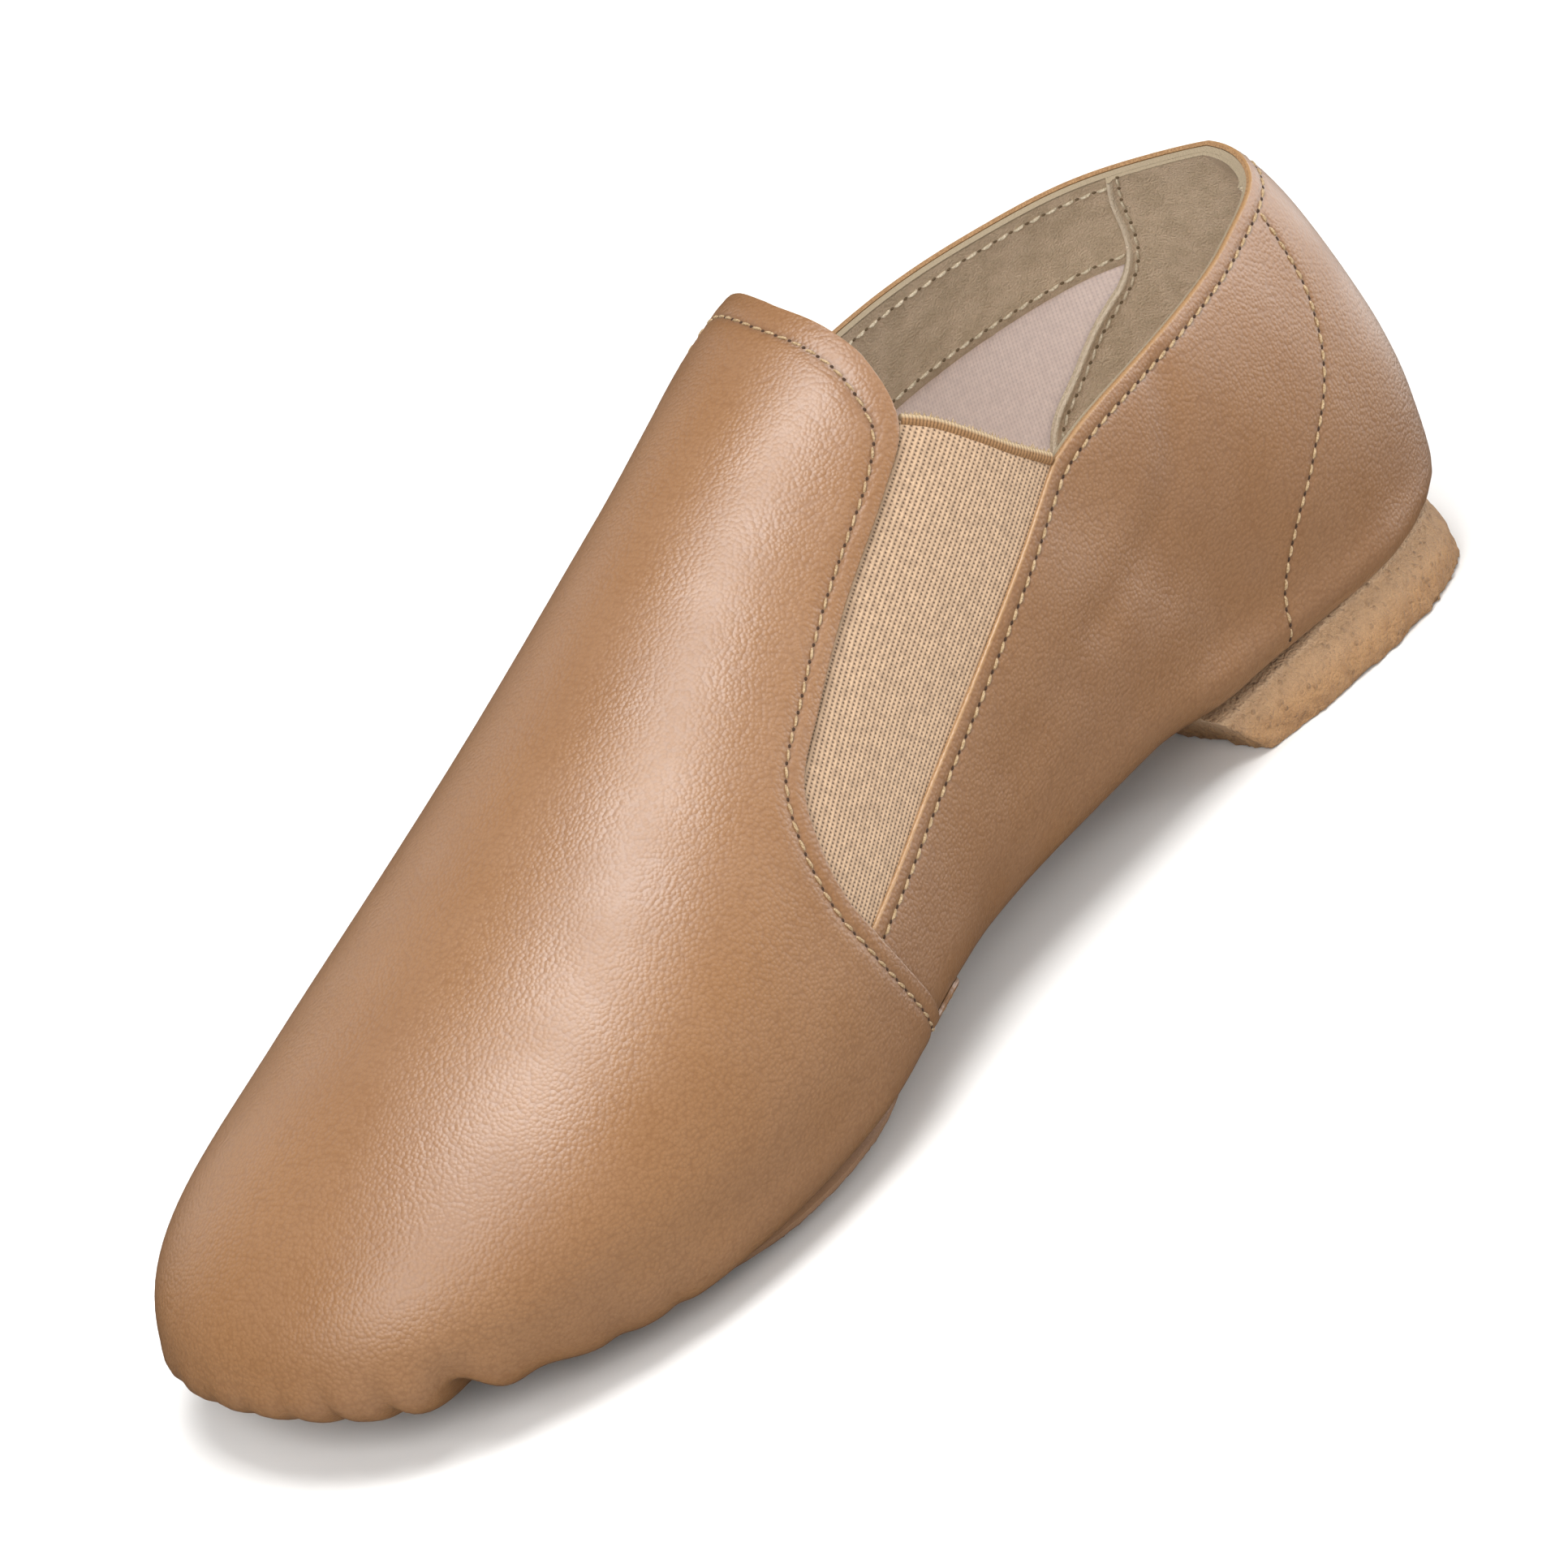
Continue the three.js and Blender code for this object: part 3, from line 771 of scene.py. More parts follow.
@dataclass(frozen=True)
class Pleats:
    """The gathers where the vamp is drawn in under the toe, in front of the patch."""

    centre: Tuple[float, float] = (186.0, -3.6)
    start: float = 20.0
    folds: Tuple[Pleat, ...] = (
        Pleat(-71, 0.8, 2.2), Pleat(-61, 1.0, 2.2), Pleat(-51, 1.2, 2.0), Pleat(-42.5, 1.3, 1.9),
        Pleat(-34, 1.4, 1.9), Pleat(-26, 1.4, 1.8), Pleat(-18.5, 1.3, 1.7), Pleat(-11, 1.4, 1.6),
        Pleat(-4.5, 1.2, 1.5), Pleat(2, 1.3, 1.4), Pleat(8.4, 2.9, 1.2), Pleat(16.0, 3.1, 1.3),
        Pleat(25.4, 6.6, 2.9), Pleat(36, 1.9, 4.8), Pleat(50, 0.6, 2.4), Pleat(62, 0.5, 2.2),
    )
    swell: float = 1.45

    def lift(self, points: Array) -> Array:
        """How far the pleats move the leather outwards, in mm.

        Args:
            points: points in mm.

        Returns:
            Lifts, mm.
        """
        dx = points[:, 0] - self.centre[0]
        dy = points[:, 1] - self.centre[1]
        radius = np.hypot(dx, dy)
        bearing = np.degrees(np.arctan2(dy, dx))
        reach = ease(radius, self.start - 6, self.start + 4)
        low = 1 - ease(points[:, 2], 9.0, 19.0)
        fan = ease(bearing, -84, -68) * (1 - ease(bearing, 66, 82))
        strength = reach * low * fan
        soft = lerp(0.55, 1.0, ease(radius, self.start, self.start + 16))
        total = self.swell * (1 - 0.85 * ease(bearing, 30, 46))
        for fold in self.folds:
            arc = np.radians(bearing - fold.bearing) * radius
            width = fold.width * np.clip(radius / 48.0, 0.42, 1.15)
            fade = 1 - 0.5 * ease(radius, 44, 60)
            total -= fold.depth * soft * fade * bell(arc, width)
        return total * strength


PLEATS = Pleats()


def relief(points: Array, normals: Array) -> Array:
    """Lift of the soft upper's main creases and pleats, in mm outwards.

    Args:
        points: points in mm.
        normals: unit normals there.

    Returns:
        Lifts, mm.
    """
    total = np.zeros(len(points))
    for crease in CREASES:
        line = curve_through(crease.line, 40)
        on_side = ease(points[:, 1] * crease.side.value, 4.0, 14.0)
        away = points[:, None, ::2] - line[None]
        gap = np.min(np.hypot(away[..., 0], away[..., 1]), axis=1)
        total -= crease.depth * on_side * bell(gap, crease.width)
    above_block = ease(points[:, 2], 9.0, 17.0)
    total = total * above_block + seat_roll(points, normals)
    return total + collar_flare(points) + PLEATS.lift(points)


def seat_roll(points: Array, normals: Array) -> Array:
    """The full lower edge of the leather over the heel block and at the ball.

    Args:
        points: points in mm.
        normals: unit normals there.

    Returns:
        Lifts, mm.
    """
    down = -normals[:, 2]
    corner = ease(down, 0.0, 0.65) * (1 - ease(down, 0.94, 0.995))
    seat = 2.5 * lerp(0.35, 1.0, ease(points[:, 0], 6, 26)) * (1 - ease(points[:, 0], 60, 80))
    ball = 0.5 * ease(points[:, 0], 142, 160) * (1 - ease(points[:, 0], 196, 214))
    return corner * (seat + ball)


def collar_flare(points: Array) -> Array:
    """The collar stands out a little where the foot was put in, at the back."""
    around = np.hypot(points[:, 0] - 9.0, points[:, 1] - 9.0)
    return 1.8 * ease(points[:, 2], 44, 68) * bell(around, 13.0)


# ---- sheets cut flat and wrapped on the last


def use_only(piece: Piece) -> None:
    """Selects one object and nothing else.

    Args:
        piece: the object.
    """
    bpy.ops.object.select_all(action="DESELECT")
    piece.select_set(True)
    bpy.context.view_layer.objects.active = piece


def positions(mesh: bpy.types.Mesh) -> Array:
    """Vertex positions of a mesh.

    Args:
        mesh: the mesh.

    Returns:
        Rows of coordinates.
    """
    flat = np.empty(3 * len(mesh.vertices), dtype=np.float32)
    mesh.vertices.foreach_get("co", flat)
    return flat.reshape(-1, 3).astype(float)


def move_to(mesh: bpy.types.Mesh, points: Array) -> None:
    """Sets the vertex positions of a mesh."""
    mesh.vertices.foreach_set("co", np.asarray(points, np.float32).ravel())
    mesh.update()


def attribute(mesh: bpy.types.Mesh, name: str) -> Array:
    """Values of a point attribute of a mesh.

    Args:
        mesh: the mesh.
        name: name of the attribute.

    Returns:
        One value for each vertex.
    """
    values = np.empty(len(mesh.vertices), dtype=np.float32)
    mesh.attributes[name].data.foreach_get("value", values)
    return values.astype(float)


def placed(points: Array) -> Array:
    """Millimetres on the last as metres in the frame."""
    return (points - ORIGIN) * MM


def smooth(piece: Piece, degrees: float) -> None:
    """Shades a piece smooth, with creases sharper than an angle kept."""
    use_only(piece)
    bpy.ops.object.shade_smooth_by_angle(angle=math.radians(degrees))


def edit_all(piece: Piece, *steps: Callable[[], object]) -> None:
    """Runs operators in edit mode, each on the whole piece.

    Args:
        piece: the piece.
        *steps: operators, ready to call.
    """
    use_only(piece)
    bpy.ops.object.mode_set(mode="EDIT")
    for step in steps:
        bpy.ops.mesh.select_all(action="SELECT")
        step()
    bpy.ops.object.mode_set(mode="OBJECT")


def face_outwards(piece: Piece) -> None:
    """Turns all faces of a closed piece outwards."""
    edit_all(piece, partial(bpy.ops.mesh.normals_make_consistent, inside=False))


def flat_grid(columns: int, rows: int) -> Piece:
    """A flat square grid from -1 to 1 of so many cells.

    Args:
        columns: cells along x.
        rows: cells along y.

    Returns:
        The grid.
    """
    bpy.ops.object.select_all(action="DESELECT")
    bpy.ops.mesh.primitive_grid_add(x_subdivisions=columns, y_subdivisions=rows, size=2)
    return bpy.context.object


def take_apart(piece: Piece) -> Tuple[Array, Faces]:
    """Removes an object and hands back its points and faces.

    Args:
        piece: the object.

    Returns:
        Its points and faces.
    """
    mesh = piece.data
    points = positions(mesh)
    faces = [tuple(face.vertices) for face in mesh.polygons]
    bpy.data.objects.remove(piece)
    bpy.data.meshes.remove(mesh)
    return points, faces


def mesh_piece(name: str, points: Array, faces: Faces, layers: Optional[Dict[str, Array]] = None,
               slots: Optional[Sequence[int]] = None) -> Piece:
    """Makes a piece.

    Args:
        name: its name.
        points: its points in mm on the last.
        faces: its faces.
        layers: point attributes to keep, by name.
        slots: material slot of each face.

    Returns:
        The piece.
    """
    mesh = bpy.data.meshes.new(name)
    mesh.from_pydata(placed(points).tolist(), [], faces)
    if slots is not None:
        mesh.polygons.foreach_set("material_index", np.array(slots, dtype=np.int32))
    for key, values in (layers or {}).items():
        kind, part = ("FLOAT", "value") if values.ndim == 1 else ("FLOAT_VECTOR", "vector")
        layer = mesh.attributes.new(key, kind, "POINT")
        layer.data.foreach_set(part, values.astype(np.float32).ravel())
    mesh.validate()
    piece = bpy.data.objects.new(name, mesh)
    bpy.context.scene.collection.objects.link(piece)
    return piece


def closed_wall(name: str, outer: Array, inner: Array, faces: Faces,
                layers: Optional[Dict[str, Array]] = None, rim_slot: int = 0) -> Piece:
    """Closes two faces of the same sheet into a wall.

    Args:
        name: name of the piece.
        outer: points of the outer face, in mm.
        inner: points of the inner face.
        faces: faces of the sheet, all turned the same way.
        layers: point attributes to keep, by name.
        rim_slot: material slot of the rim.

    Returns:
        The piece, with its faces turned outwards.
    """
    count = len(outer)
    a, b, c = (outer[[face[k] for face in faces]] for k in range(3))
    facing = np.sum(np.cross(b - a, c - b) * (outer - inner)[[face[0] for face in faces]])
    faces = [face if facing > 0 else face[::-1] for face in faces]
    open_edges: Dict[Tuple[int, int], Tuple[int, int]] = {}
    for face in faces:
        for p, q in zip(face, face[1:] + face[:1]):
            key = (min(p, q), max(p, q))
            if key in open_edges:
                del open_edges[key]
            else:
                open_edges[key] = (p, q)
    walls = faces + [tuple(count + i for i in face[::-1]) for face in faces]
    rim = [(q, p, count + p, count + q) for p, q in open_edges.values()]
    doubled = {key: np.concatenate([values, values]) for key, values in (layers or {}).items()}
    slots = [0] * len(walls) + [rim_slot] * len(rim)
    piece = mesh_piece(name, np.concatenate([outer, inner]), walls + rim, doubled, slots)
    smooth(piece, SHARP)
    return piece


@dataclass
class Cut:
    """A cut of a flat sheet: its value over stations and ring, the least value kept and lines to score."""

    value: Callable[[Array, Array], Array]
    keep: Optional[float] = 0.0
    scores: Tuple[float, ...] = ()


class Sheet:
    """A sheet laid out flat over stations and ring, cut to its outline, then wrapped on the last."""

    def __init__(self, name: str, stations: Array, ring: Array) -> None:
        """Lays out a flat grid.

        Args:
            name: name of the piece.
            stations: the grid's stations.
            ring: the grid's ring values.
        """
        self.name = name
        self.piece = flat_grid(len(stations) - 1, len(ring) - 1)
        flat = positions(self.piece.data)
        i = np.rint((flat[:, 0] + 1) / 2 * (len(stations) - 1)).astype(int)
        j = np.rint((flat[:, 1] + 1) / 2 * (len(ring) - 1)).astype(int)
        self.t = np.asarray(stations, float)[i]
        self.g = np.asarray(ring, float)[j]
        self._lay(np.zeros(len(i)))

    def _lay(self, value: Array) -> None:
        """Puts the sheet in a space whose x is a cut's value."""
        move_to(self.piece.data, np.stack([value, self.t, self.g], axis=1))

    def cut(self, cut: Cut) -> None:
        """Cuts and scores the sheet.

        Args:
            cut: the cut.
        """
        self._lay(cut.value(self.t, self.g))
        levels = [(level, False) for level in cut.scores]
        if cut.keep is not None:
            levels.insert(0, (cut.keep, True))
        edit_all(self.piece, *(partial(bpy.ops.mesh.bisect, plane_co=(level, 0, 0), plane_no=(1, 0, 0),
                                       threshold=1e-4, clear_inner=clear) for level, clear in levels))
        flat = positions(self.piece.data)
        self.t = np.clip(flat[:, 1], 0, 1)
        self.g = flat[:, 2]

    def wrap(self) -> None:
        """Wraps the sheet on the last and joins where it meets itself."""
        points, _ = LAST.sample(self.t, self.g)
        mesh = self.piece.data
        move_to(mesh, points)
        for name, values in (("station", self.t), ("ring", self.g)):
            layer = mesh.attributes.new(name, "FLOAT", "POINT")
            layer.data.foreach_set("value", values.astype(np.float32))
        edit_all(self.piece, partial(bpy.ops.mesh.remove_doubles, threshold=0.004),
                 partial(bpy.ops.mesh.dissolve_degenerate, threshold=0.003))
        self.t, self.g = (attribute(self.piece.data, name) for name in ("station", "ring"))
        self.points, self.normals = LAST.sample(self.t, self.g)

    def shell(self, outer: Array, inner: Array, layers: Optional[Dict[str, Array]] = None,
              rim_slot: int = 0) -> Piece:
        """Closes the sheet into a wall between two lifts.

        Args:
            outer: lift of the outer face at each vertex, in mm.
            inner: lift of the inner face.
            layers: point attributes to keep, by name.
            rim_slot: material slot of the rim.

        Returns:
            The finished piece, which takes the sheet's place.
        """
        walls = (self.points + lift[:, None] * self.normals for lift in (outer, inner))
        return closed_wall(self.name, *walls, take_apart(self.piece)[1], layers, rim_slot)


def rim_spaced(start: float, end: float, coarse: float, fine: float = 1.0,
               fine_from: float = math.inf) -> Array:
    """Stations whose spacing along the last's rim is even in mm.

    Args:
        start: first station.
        end: last station.
        coarse: spacing in mm.
        fine: closer spacing towards the toe.
        fine_from: distance from the heel at which that starts.

    Returns:
        The stations.
    """
    t = np.linspace(start, end, 1500)
    points = LAST.point(t, 1, np.zeros_like(t))
    run = lengths_along(points)
    spacing = np.where(points[:, 0] > fine_from, fine, coarse)
    weight = np.concatenate([[0.0], np.cumsum(np.diff(run) / spacing[1:])])
    return np.interp(np.linspace(0, weight[-1], int(round(weight[-1])) + 1), weight, t)


def girth_spaced(spacing: float, low: float = 0.0, high: float = 2.0) -> Array:
    """Ring values about evenly spaced in mm."""
    return np.linspace(low, high, max(int(round((high - low) * HALF_GIRTH / spacing)), 2) + 1)


# ---- finishes


def linear(hex_colour: str) -> Tuple[float, float, float, float]:
    """An sRGB hex colour as linear red, green, blue and alpha.

    Args:
        hex_colour: the colour, as #RRGGBB.

    Returns:
        The linear colour.
    """
    parts = [int(hex_colour[i:i + 2], 16) / 255 for i in (1, 3, 5)]
    low = [part / 12.92 if part <= 0.04045 else ((part + 0.055) / 1.055) ** 2.4 for part in parts]
    return (low[0], low[1], low[2], 1.0)


def add(tree: Tree, kind: str, settings: Optional[Dict[str, object]] = None,
        **inputs: object) -> bpy.types.Node:
    """Adds a node with its settings and links.

    Args:
        tree: the node tree.
        kind: the node's type.
        settings: its properties by name.
        **inputs: values or sockets by input name, with _ for a space, or in_N for input N.

    Returns:
        The node.
    """
    node = tree.nodes.new(kind)
    for name, value in (settings or {}).items():
        setattr(node, name, value)
    for name, value in inputs.items():
        socket = node.inputs[int(name[3:])] if name.startswith("in_") else node.inputs[name.replace("_", " ")]
        if isinstance(value, Socket):
            tree.links.new(value, socket)
        else:
            socket.default_value = value
    return node


@dataclass(frozen=True)
class Finish:
    """A surface made of a real material, or the painted shade of a needle hole; subclasses draw its pattern.
    """

    name: str
    colour: str
    roughness: float = 0.5
    sheen: float = 0.0
    sheen_roughness: float = 0.5
    specular: float = 0.5

    def material(self) -> bpy.types.Material:
        """The material, made once.

        Returns:
            The material.
        """
        found = bpy.data.materials.get(self.name)
        if found:
            return found
        made = bpy.data.materials.new(self.name)
        made.use_nodes = True
        made.diffuse_color = linear(self.colour)
        tree = made.node_tree
        tree.nodes.clear()
        shader = add(tree, "ShaderNodeBsdfPrincipled", Base_Color=linear(self.colour),
                     Roughness=self.roughness, Sheen_Weight=self.sheen,
                     Sheen_Roughness=self.sheen_roughness, Specular_IOR_Level=self.specular)
        add(tree, "ShaderNodeOutputMaterial", Surface=shader.outputs["BSDF"])
        self.dress(tree, shader)
        return made

    def dress(self, tree: Tree, shader: bpy.types.Node) -> None:
        """Draws the pattern."""

    @staticmethod
    def place(tree: Tree) -> Socket:
        """Object coordinates in metres."""
        return add(tree, "ShaderNodeTexCoord").outputs["Object"]

    @staticmethod
    def speckle(tree: Tree, place: Socket, size_mm: float,
                detail: float = 2.0, low: float = 0.35, high: float = 0.65) -> Socket:
        """Soft random patches of a size in mm, from 0 to 1.

        Args:
            tree: the node tree.
            place: coordinates in metres.
            size_mm: size of a patch.
            detail: octaves of finer noise.
            low: noise that gives 0.
            high: noise that gives 1.

        Returns:
            The share.
        """
        noise = add(tree, "ShaderNodeTexNoise", Vector=place, Scale=1.0 / (size_mm * MM), Detail=detail)
        return add(tree, "ShaderNodeMapRange", Value=noise.outputs["Fac"], From_Min=low,
                   From_Max=high).outputs["Result"]

    @staticmethod
    def blend(tree: Tree, share: object, first: object, second: object) -> Socket:
        """Mix of two colours."""
        node = add(tree, "ShaderNodeMix", {"data_type": "RGBA"}, in_0=share, in_6=first, in_7=second)
        return node.outputs[2]

    @classmethod
    def topline(cls, tree: Tree, colour: Socket) -> Socket:
        """The lining's cut edge in the topline, where its layers show as a cream line."""
        return cls.blend(tree, cls.drawn(tree, "top"), colour, linear("#8F8069"))

    @staticmethod
    def math(tree: Tree, operation: str, *values: object) -> Socket:
        """One sum on one or two values."""
        given = {"in_%d" % i: value for i, value in enumerate(values)}
        return add(tree, "ShaderNodeMath", {"operation": operation}, **given).outputs[0]

    @staticmethod
    def drawn(tree: Tree, name: str) -> Socket:
        """A share that the piece carries at its points."""
        return add(tree, "ShaderNodeAttribute", {"attribute_name": name}).outputs["Fac"]

    @staticmethod
    def wear(tree: Tree, shader: bpy.types.Node, colour: Socket,
             height: Socket, depth_mm: float, strength: float = 0.9) -> None:
        """Gives the shader its colour and relief.

        Args:
            tree: the node tree.
            shader: the shader.
            colour: the pattern's colour.
            height: the pattern's height, about 0 to 1.
            depth_mm: depth of the relief in mm.
            strength: how strongly it turns the light.
        """
        tree.links.new(colour, shader.inputs["Base Color"])
        bump = add(tree, "ShaderNodeBump", Strength=strength, Distance=depth_mm * MM, Height=height)
        tree.links.new(bump.outputs[0], shader.inputs["Normal"])

    @staticmethod
    def sum_of(tree: Tree, *parts: Tuple[object, float]) -> Socket:
        """Weighted sum of values.

        Args:
            tree: the node tree.
            *parts: values with their weights.

        Returns:
            The sum.
        """
        total: object = 0.0
        for value, weight in parts:
            total = add(tree, "ShaderNodeMath", {"operation": "MULTIPLY_ADD"}, in_0=value, in_1=weight,
                        in_2=total).outputs[0]
        return total


@dataclass(frozen=True)
class CoatedLeather(Finish):
    """Polyurethane-coated microfibre, embossed with a fine pebble grain and calendered to a satin.

    The emboss breaks the gloss into small points; the coat keeps the highlight broad and a little pale.
    """

    # Real pebbles are about 0.4 mm; drawn coarser, because so fine a grain doesn't show in the render
    grain_mm: float = 0.62
    pit_mm: float = 0.35
    grain_depth: float = 0.075
    shade: str = "#785333"
    # Painted shade for the grooves of the stitch rows and the butted seam
    seam_line: str = "#583C27"
    cut_edge: str = "#957046"

    def dress(self, tree: Tree, shader: bpy.types.Node) -> None:
        """Grain, slow colour change, painted shade in the grain's valleys and painted shade along the
        stitched grooves.

        Args:
            tree: the node tree.
            shader: its shader.
        """
        place = self.place(tree)
        cells = add(tree, "ShaderNodeTexVoronoi", Vector=place, Scale=1.0 / (self.grain_mm * MM),
                    Randomness=0.85)
        pits = add(tree, "ShaderNodeTexNoise", Vector=place, Scale=1.0 / (self.pit_mm * MM), Detail=2.0)
        grain = self.sum_of(tree, (cells.outputs["Distance"], -1.0), (pits.outputs["Fac"], 0.12))
        slow = self.speckle(tree, place, 9.0, 0.0)
        height = self.sum_of(tree, (grain, 1.0), (slow, 0.4))
        tone = self.speckle(tree, place, 28.0)
        colour = self.blend(tree, self.sum_of(tree, (tone, 0.3)), linear(self.colour), linear(self.shade))
        # Painted shade: the valleys between the grain's pebbles are darkened
        grain_valley_shade = add(tree, "ShaderNodeMapRange", Value=cells.outputs["Distance"], From_Min=0.4, From_Max=0.75,
                     To_Max=0.5)
        colour = self.blend(tree, grain_valley_shade.outputs[0], colour, linear(self.shade))
        # crease carries painted shade along the stitched grooves; raw is the cut edge's own colour
        for name, tint in (("crease", self.seam_line), ("raw", self.cut_edge)):
            colour = self.blend(tree, self.drawn(tree, name), colour, linear(tint))
        self.wear(tree, shader, colour, height, self.grain_depth, 1.0)
        rough = self.sum_of(tree, (slow, 0.05), (grain, 0.06))
        tree.links.new(self.math(tree, "ADD", rough, self.roughness), shader.inputs["Roughness"])


@dataclass(frozen=True)
class RawEdge(Finish):
    """Cut edge of the coated leather: fibrous, orange-tan, dull."""

    fibre_mm: float = 0.3
    fibre_depth: float = 0.12
    shade: str = "#A9733E"

    def dress(self, tree: Tree, shader: bpy.types.Node) -> None:
        """Fine fibres.

        Args:
            tree: the node tree.
            shader: its shader.
        """
        place = self.place(tree)
        fibres = self.speckle(tree, place, self.fibre_mm, 3.0)
        colour = self.topline(tree, self.blend(tree, fibres, linear(self.colour), linear(self.shade)))
        self.wear(tree, shader, colour, fibres, self.fibre_depth, 0.8)


@dataclass(frozen=True)
class Suede(Finish):
    """Split or microfibre suede: a short nap, sueded by abrasion, that scatters light and lies in patches."""

    nap_mm: float = 0.35
    patch_mm: float = 3.2
    nap_depth: float = 0.16
    shade: str = "#6B6149"
    pale: str = "#D9CBB4"
    pills: float = 0.0
    pill_mm: float = 1.5
    pill_colour: str = "#6F4C30"

    def dress(self, tree: Tree, shader: bpy.types.Node) -> None:
        """Nap, brushed patches and, on worn pieces, small pills.

        Args:
            tree: the node tree.
            shader: its shader.
        """
        place = self.place(tree)
        nap = self.speckle(tree, place, self.nap_mm, 3.0, 0.3, 0.7)
        patch = self.speckle(tree, place, self.patch_mm, 3.0)
        share = self.sum_of(tree, (nap, 0.45), (patch, 0.45))
        colour = self.blend(tree, share, linear(self.colour), linear(self.shade))
        height = self.sum_of(tree, (nap, 1.0), (patch, 0.7))
        colour = self.topline(tree, self.blend(tree, self.drawn(tree, "pale"), colour, linear(self.pale)))
        if self.pills:
            dots = add(tree, "ShaderNodeTexVoronoi", Vector=place, Scale=1.0 / (self.pill_mm * MM),
                       Randomness=1.0)
            pill = add(tree, "ShaderNodeMapRange", Value=dots.outputs["Distance"], From_Min=0.12,
                       From_Max=0.3, To_Min=1.0, To_Max=0.0).outputs[0]
            colour = self.blend(tree, self.sum_of(tree, (pill, self.pills)), colour,
                                linear(self.pill_colour))
            height = self.sum_of(tree, (height, 1.0), (pill, 0.8))
        self.wear(tree, shader, colour, height, self.nap_depth)


@dataclass(frozen=True)
class Woven(Finish):
    """Plain woven cloth read from the piece's own weave coordinates in mm: ribs one way, picks the other."""

    rib_mm: float = 0.87
    # Real picks are about 0.4 mm apart; drawn coarser, because they don't show in the render otherwise
    pick_mm: float = 0.62
    # Colour of the gaps: painted shade between the threads, and also the darker tone of the uneven cloth
    gap: str = "#86603F"
    depth: float = 0.16
    contrast: float = 0.85
    pale: str = "#B5A080"

    def dress(self, tree: Tree, shader: bpy.types.Node) -> None:
        """Ribs with painted shade dotted in the gaps between the picks.

        Args:
            tree: the node tree.
            shader: its shader.
        """
        weave = add(tree, "ShaderNodeAttribute", {"attribute_name": "weave"})
        parts = add(tree, "ShaderNodeSeparateXYZ", Vector=weave.outputs["Vector"])
        drift = add(tree, "ShaderNodeTexNoise", Vector=weave.outputs["Vector"], Scale=0.35, Detail=1.0)
        across = self.sum_of(tree, (parts.outputs[0], 1.0), (drift.outputs["Fac"], 0.06))
        along = self.sum_of(tree, (parts.outputs[1], 1.0), (drift.outputs["Fac"], 0.06))
        waves = []
        for value, size, power in ((across, self.rib_mm, 0.7), (along, self.pick_mm, 0.8)):
            wave = self.math(tree, "SINE", self.sum_of(tree, (value, math.pi / size)))
            waves.append(self.math(tree, "POWER", self.math(tree, "ABSOLUTE", wave), power))
        rib, pick = waves
        both = self.math(tree, "MULTIPLY", rib, self.sum_of(tree, (pick, 0.5), (0.5, 1.0)))
        lows = self.math(tree, "MAXIMUM", rib, self.sum_of(tree, (pick, 0.95)))
        # Painted shade where the gaps between ribs and picks meet
        dark = add(tree, "ShaderNodeMapRange", Value=lows, From_Min=0.35, From_Max=1.0,
                   To_Min=self.contrast, To_Max=0.0).outputs[0]
        uneven = self.speckle(tree, self.place(tree), 1.1, 2.0)
        colour = self.blend(tree, self.sum_of(tree, (uneven, 0.25)), linear(self.colour), linear(self.gap))
        colour = self.blend(tree, dark, colour, linear(self.gap))
        colour = self.blend(tree, self.drawn(tree, "pale"), colour, linear(self.pale))
        self.wear(tree, shader, colour, both, self.depth)


@dataclass(frozen=True)
class MouldedRubber(Finish):
    """Thin moulded rubber: dull, its tone uneven in patches."""

    grain_depth: float = 0.05
    shade: str = "#8A6244"

    def dress(self, tree: Tree, shader: bpy.types.Node) -> None:
        """Slow patches and a fine mould grain.

        Args:
            tree: the node tree.
            shader: its shader.
        """
        place = self.place(tree)
        patch = self.speckle(tree, place, 12.0, 3.0)
        fine = self.speckle(tree, place, 0.4, 2.0)
        share = self.sum_of(tree, (patch, 0.35), (fine, 0.2))
        colour = self.blend(tree, share, linear(self.colour), linear(self.shade))
        self.wear(tree, shader, colour, fine, self.grain_depth, 0.5)


LEATHER = CoatedLeather("coated_leather", "#865F3A", roughness=0.46, specular=0.95, shade="#76502F")
RAW_EDGE = RawEdge("leather_raw_edge", "#9A7751", roughness=0.8, shade="#7E5C3A")
BINDING = RawEdge("lining_cut_edge", "#D9CBB4", roughness=0.9, shade="#B5A68C")
OLIVE_SUEDE = Suede("olive_microsuede", "#CDB89F", roughness=0.95, sheen=0.05, shade="#AB997E")
# On the heel block its pale colour is partly painted light: over the upper wall and as a highlight along the
# top edge
HEEL_SUEDE = Suede("worn_heel_suede", "#AC855C", roughness=0.95, sheen=0.04, shade="#8F6A47", nap_mm=0.5,
                   patch_mm=2.6, nap_depth=0.4, pills=0.22, pale="#CDAF90")
ELASTIC = Woven("woven_elastic", "#BC9E80", roughness=0.85, sheen=0.04, gap="#3F2B1B", contrast=1.0)
ELASTIC_EDGE = Woven("elastic_folded_edge", "#8E6A45", roughness=0.85, rib_mm=0.55, pick_mm=8.0,
                     gap="#6B4A2B", depth=0.25)
COTTON = Woven("cotton_lining", "#F2E2DB", roughness=0.95, sheen=0.05, rib_mm=0.6, pick_mm=0.6,
               gap="#C6B6B3", depth=0.06, contrast=0.45)
SOCK = Woven("insole_cotton", "#CDBFB2", roughness=0.95, sheen=0.05, rib_mm=0.7, pick_mm=0.7,
             gap="#9A8D80", depth=0.08, contrast=0.4)
RUBBER = MouldedRubber("moulded_rubber", "#87664A", roughness=0.6, shade="#6B4E37")
THREAD = RawEdge("stitch_thread", "#B69D7B", roughness=0.6, fibre_mm=0.25, shade="#8F744F")
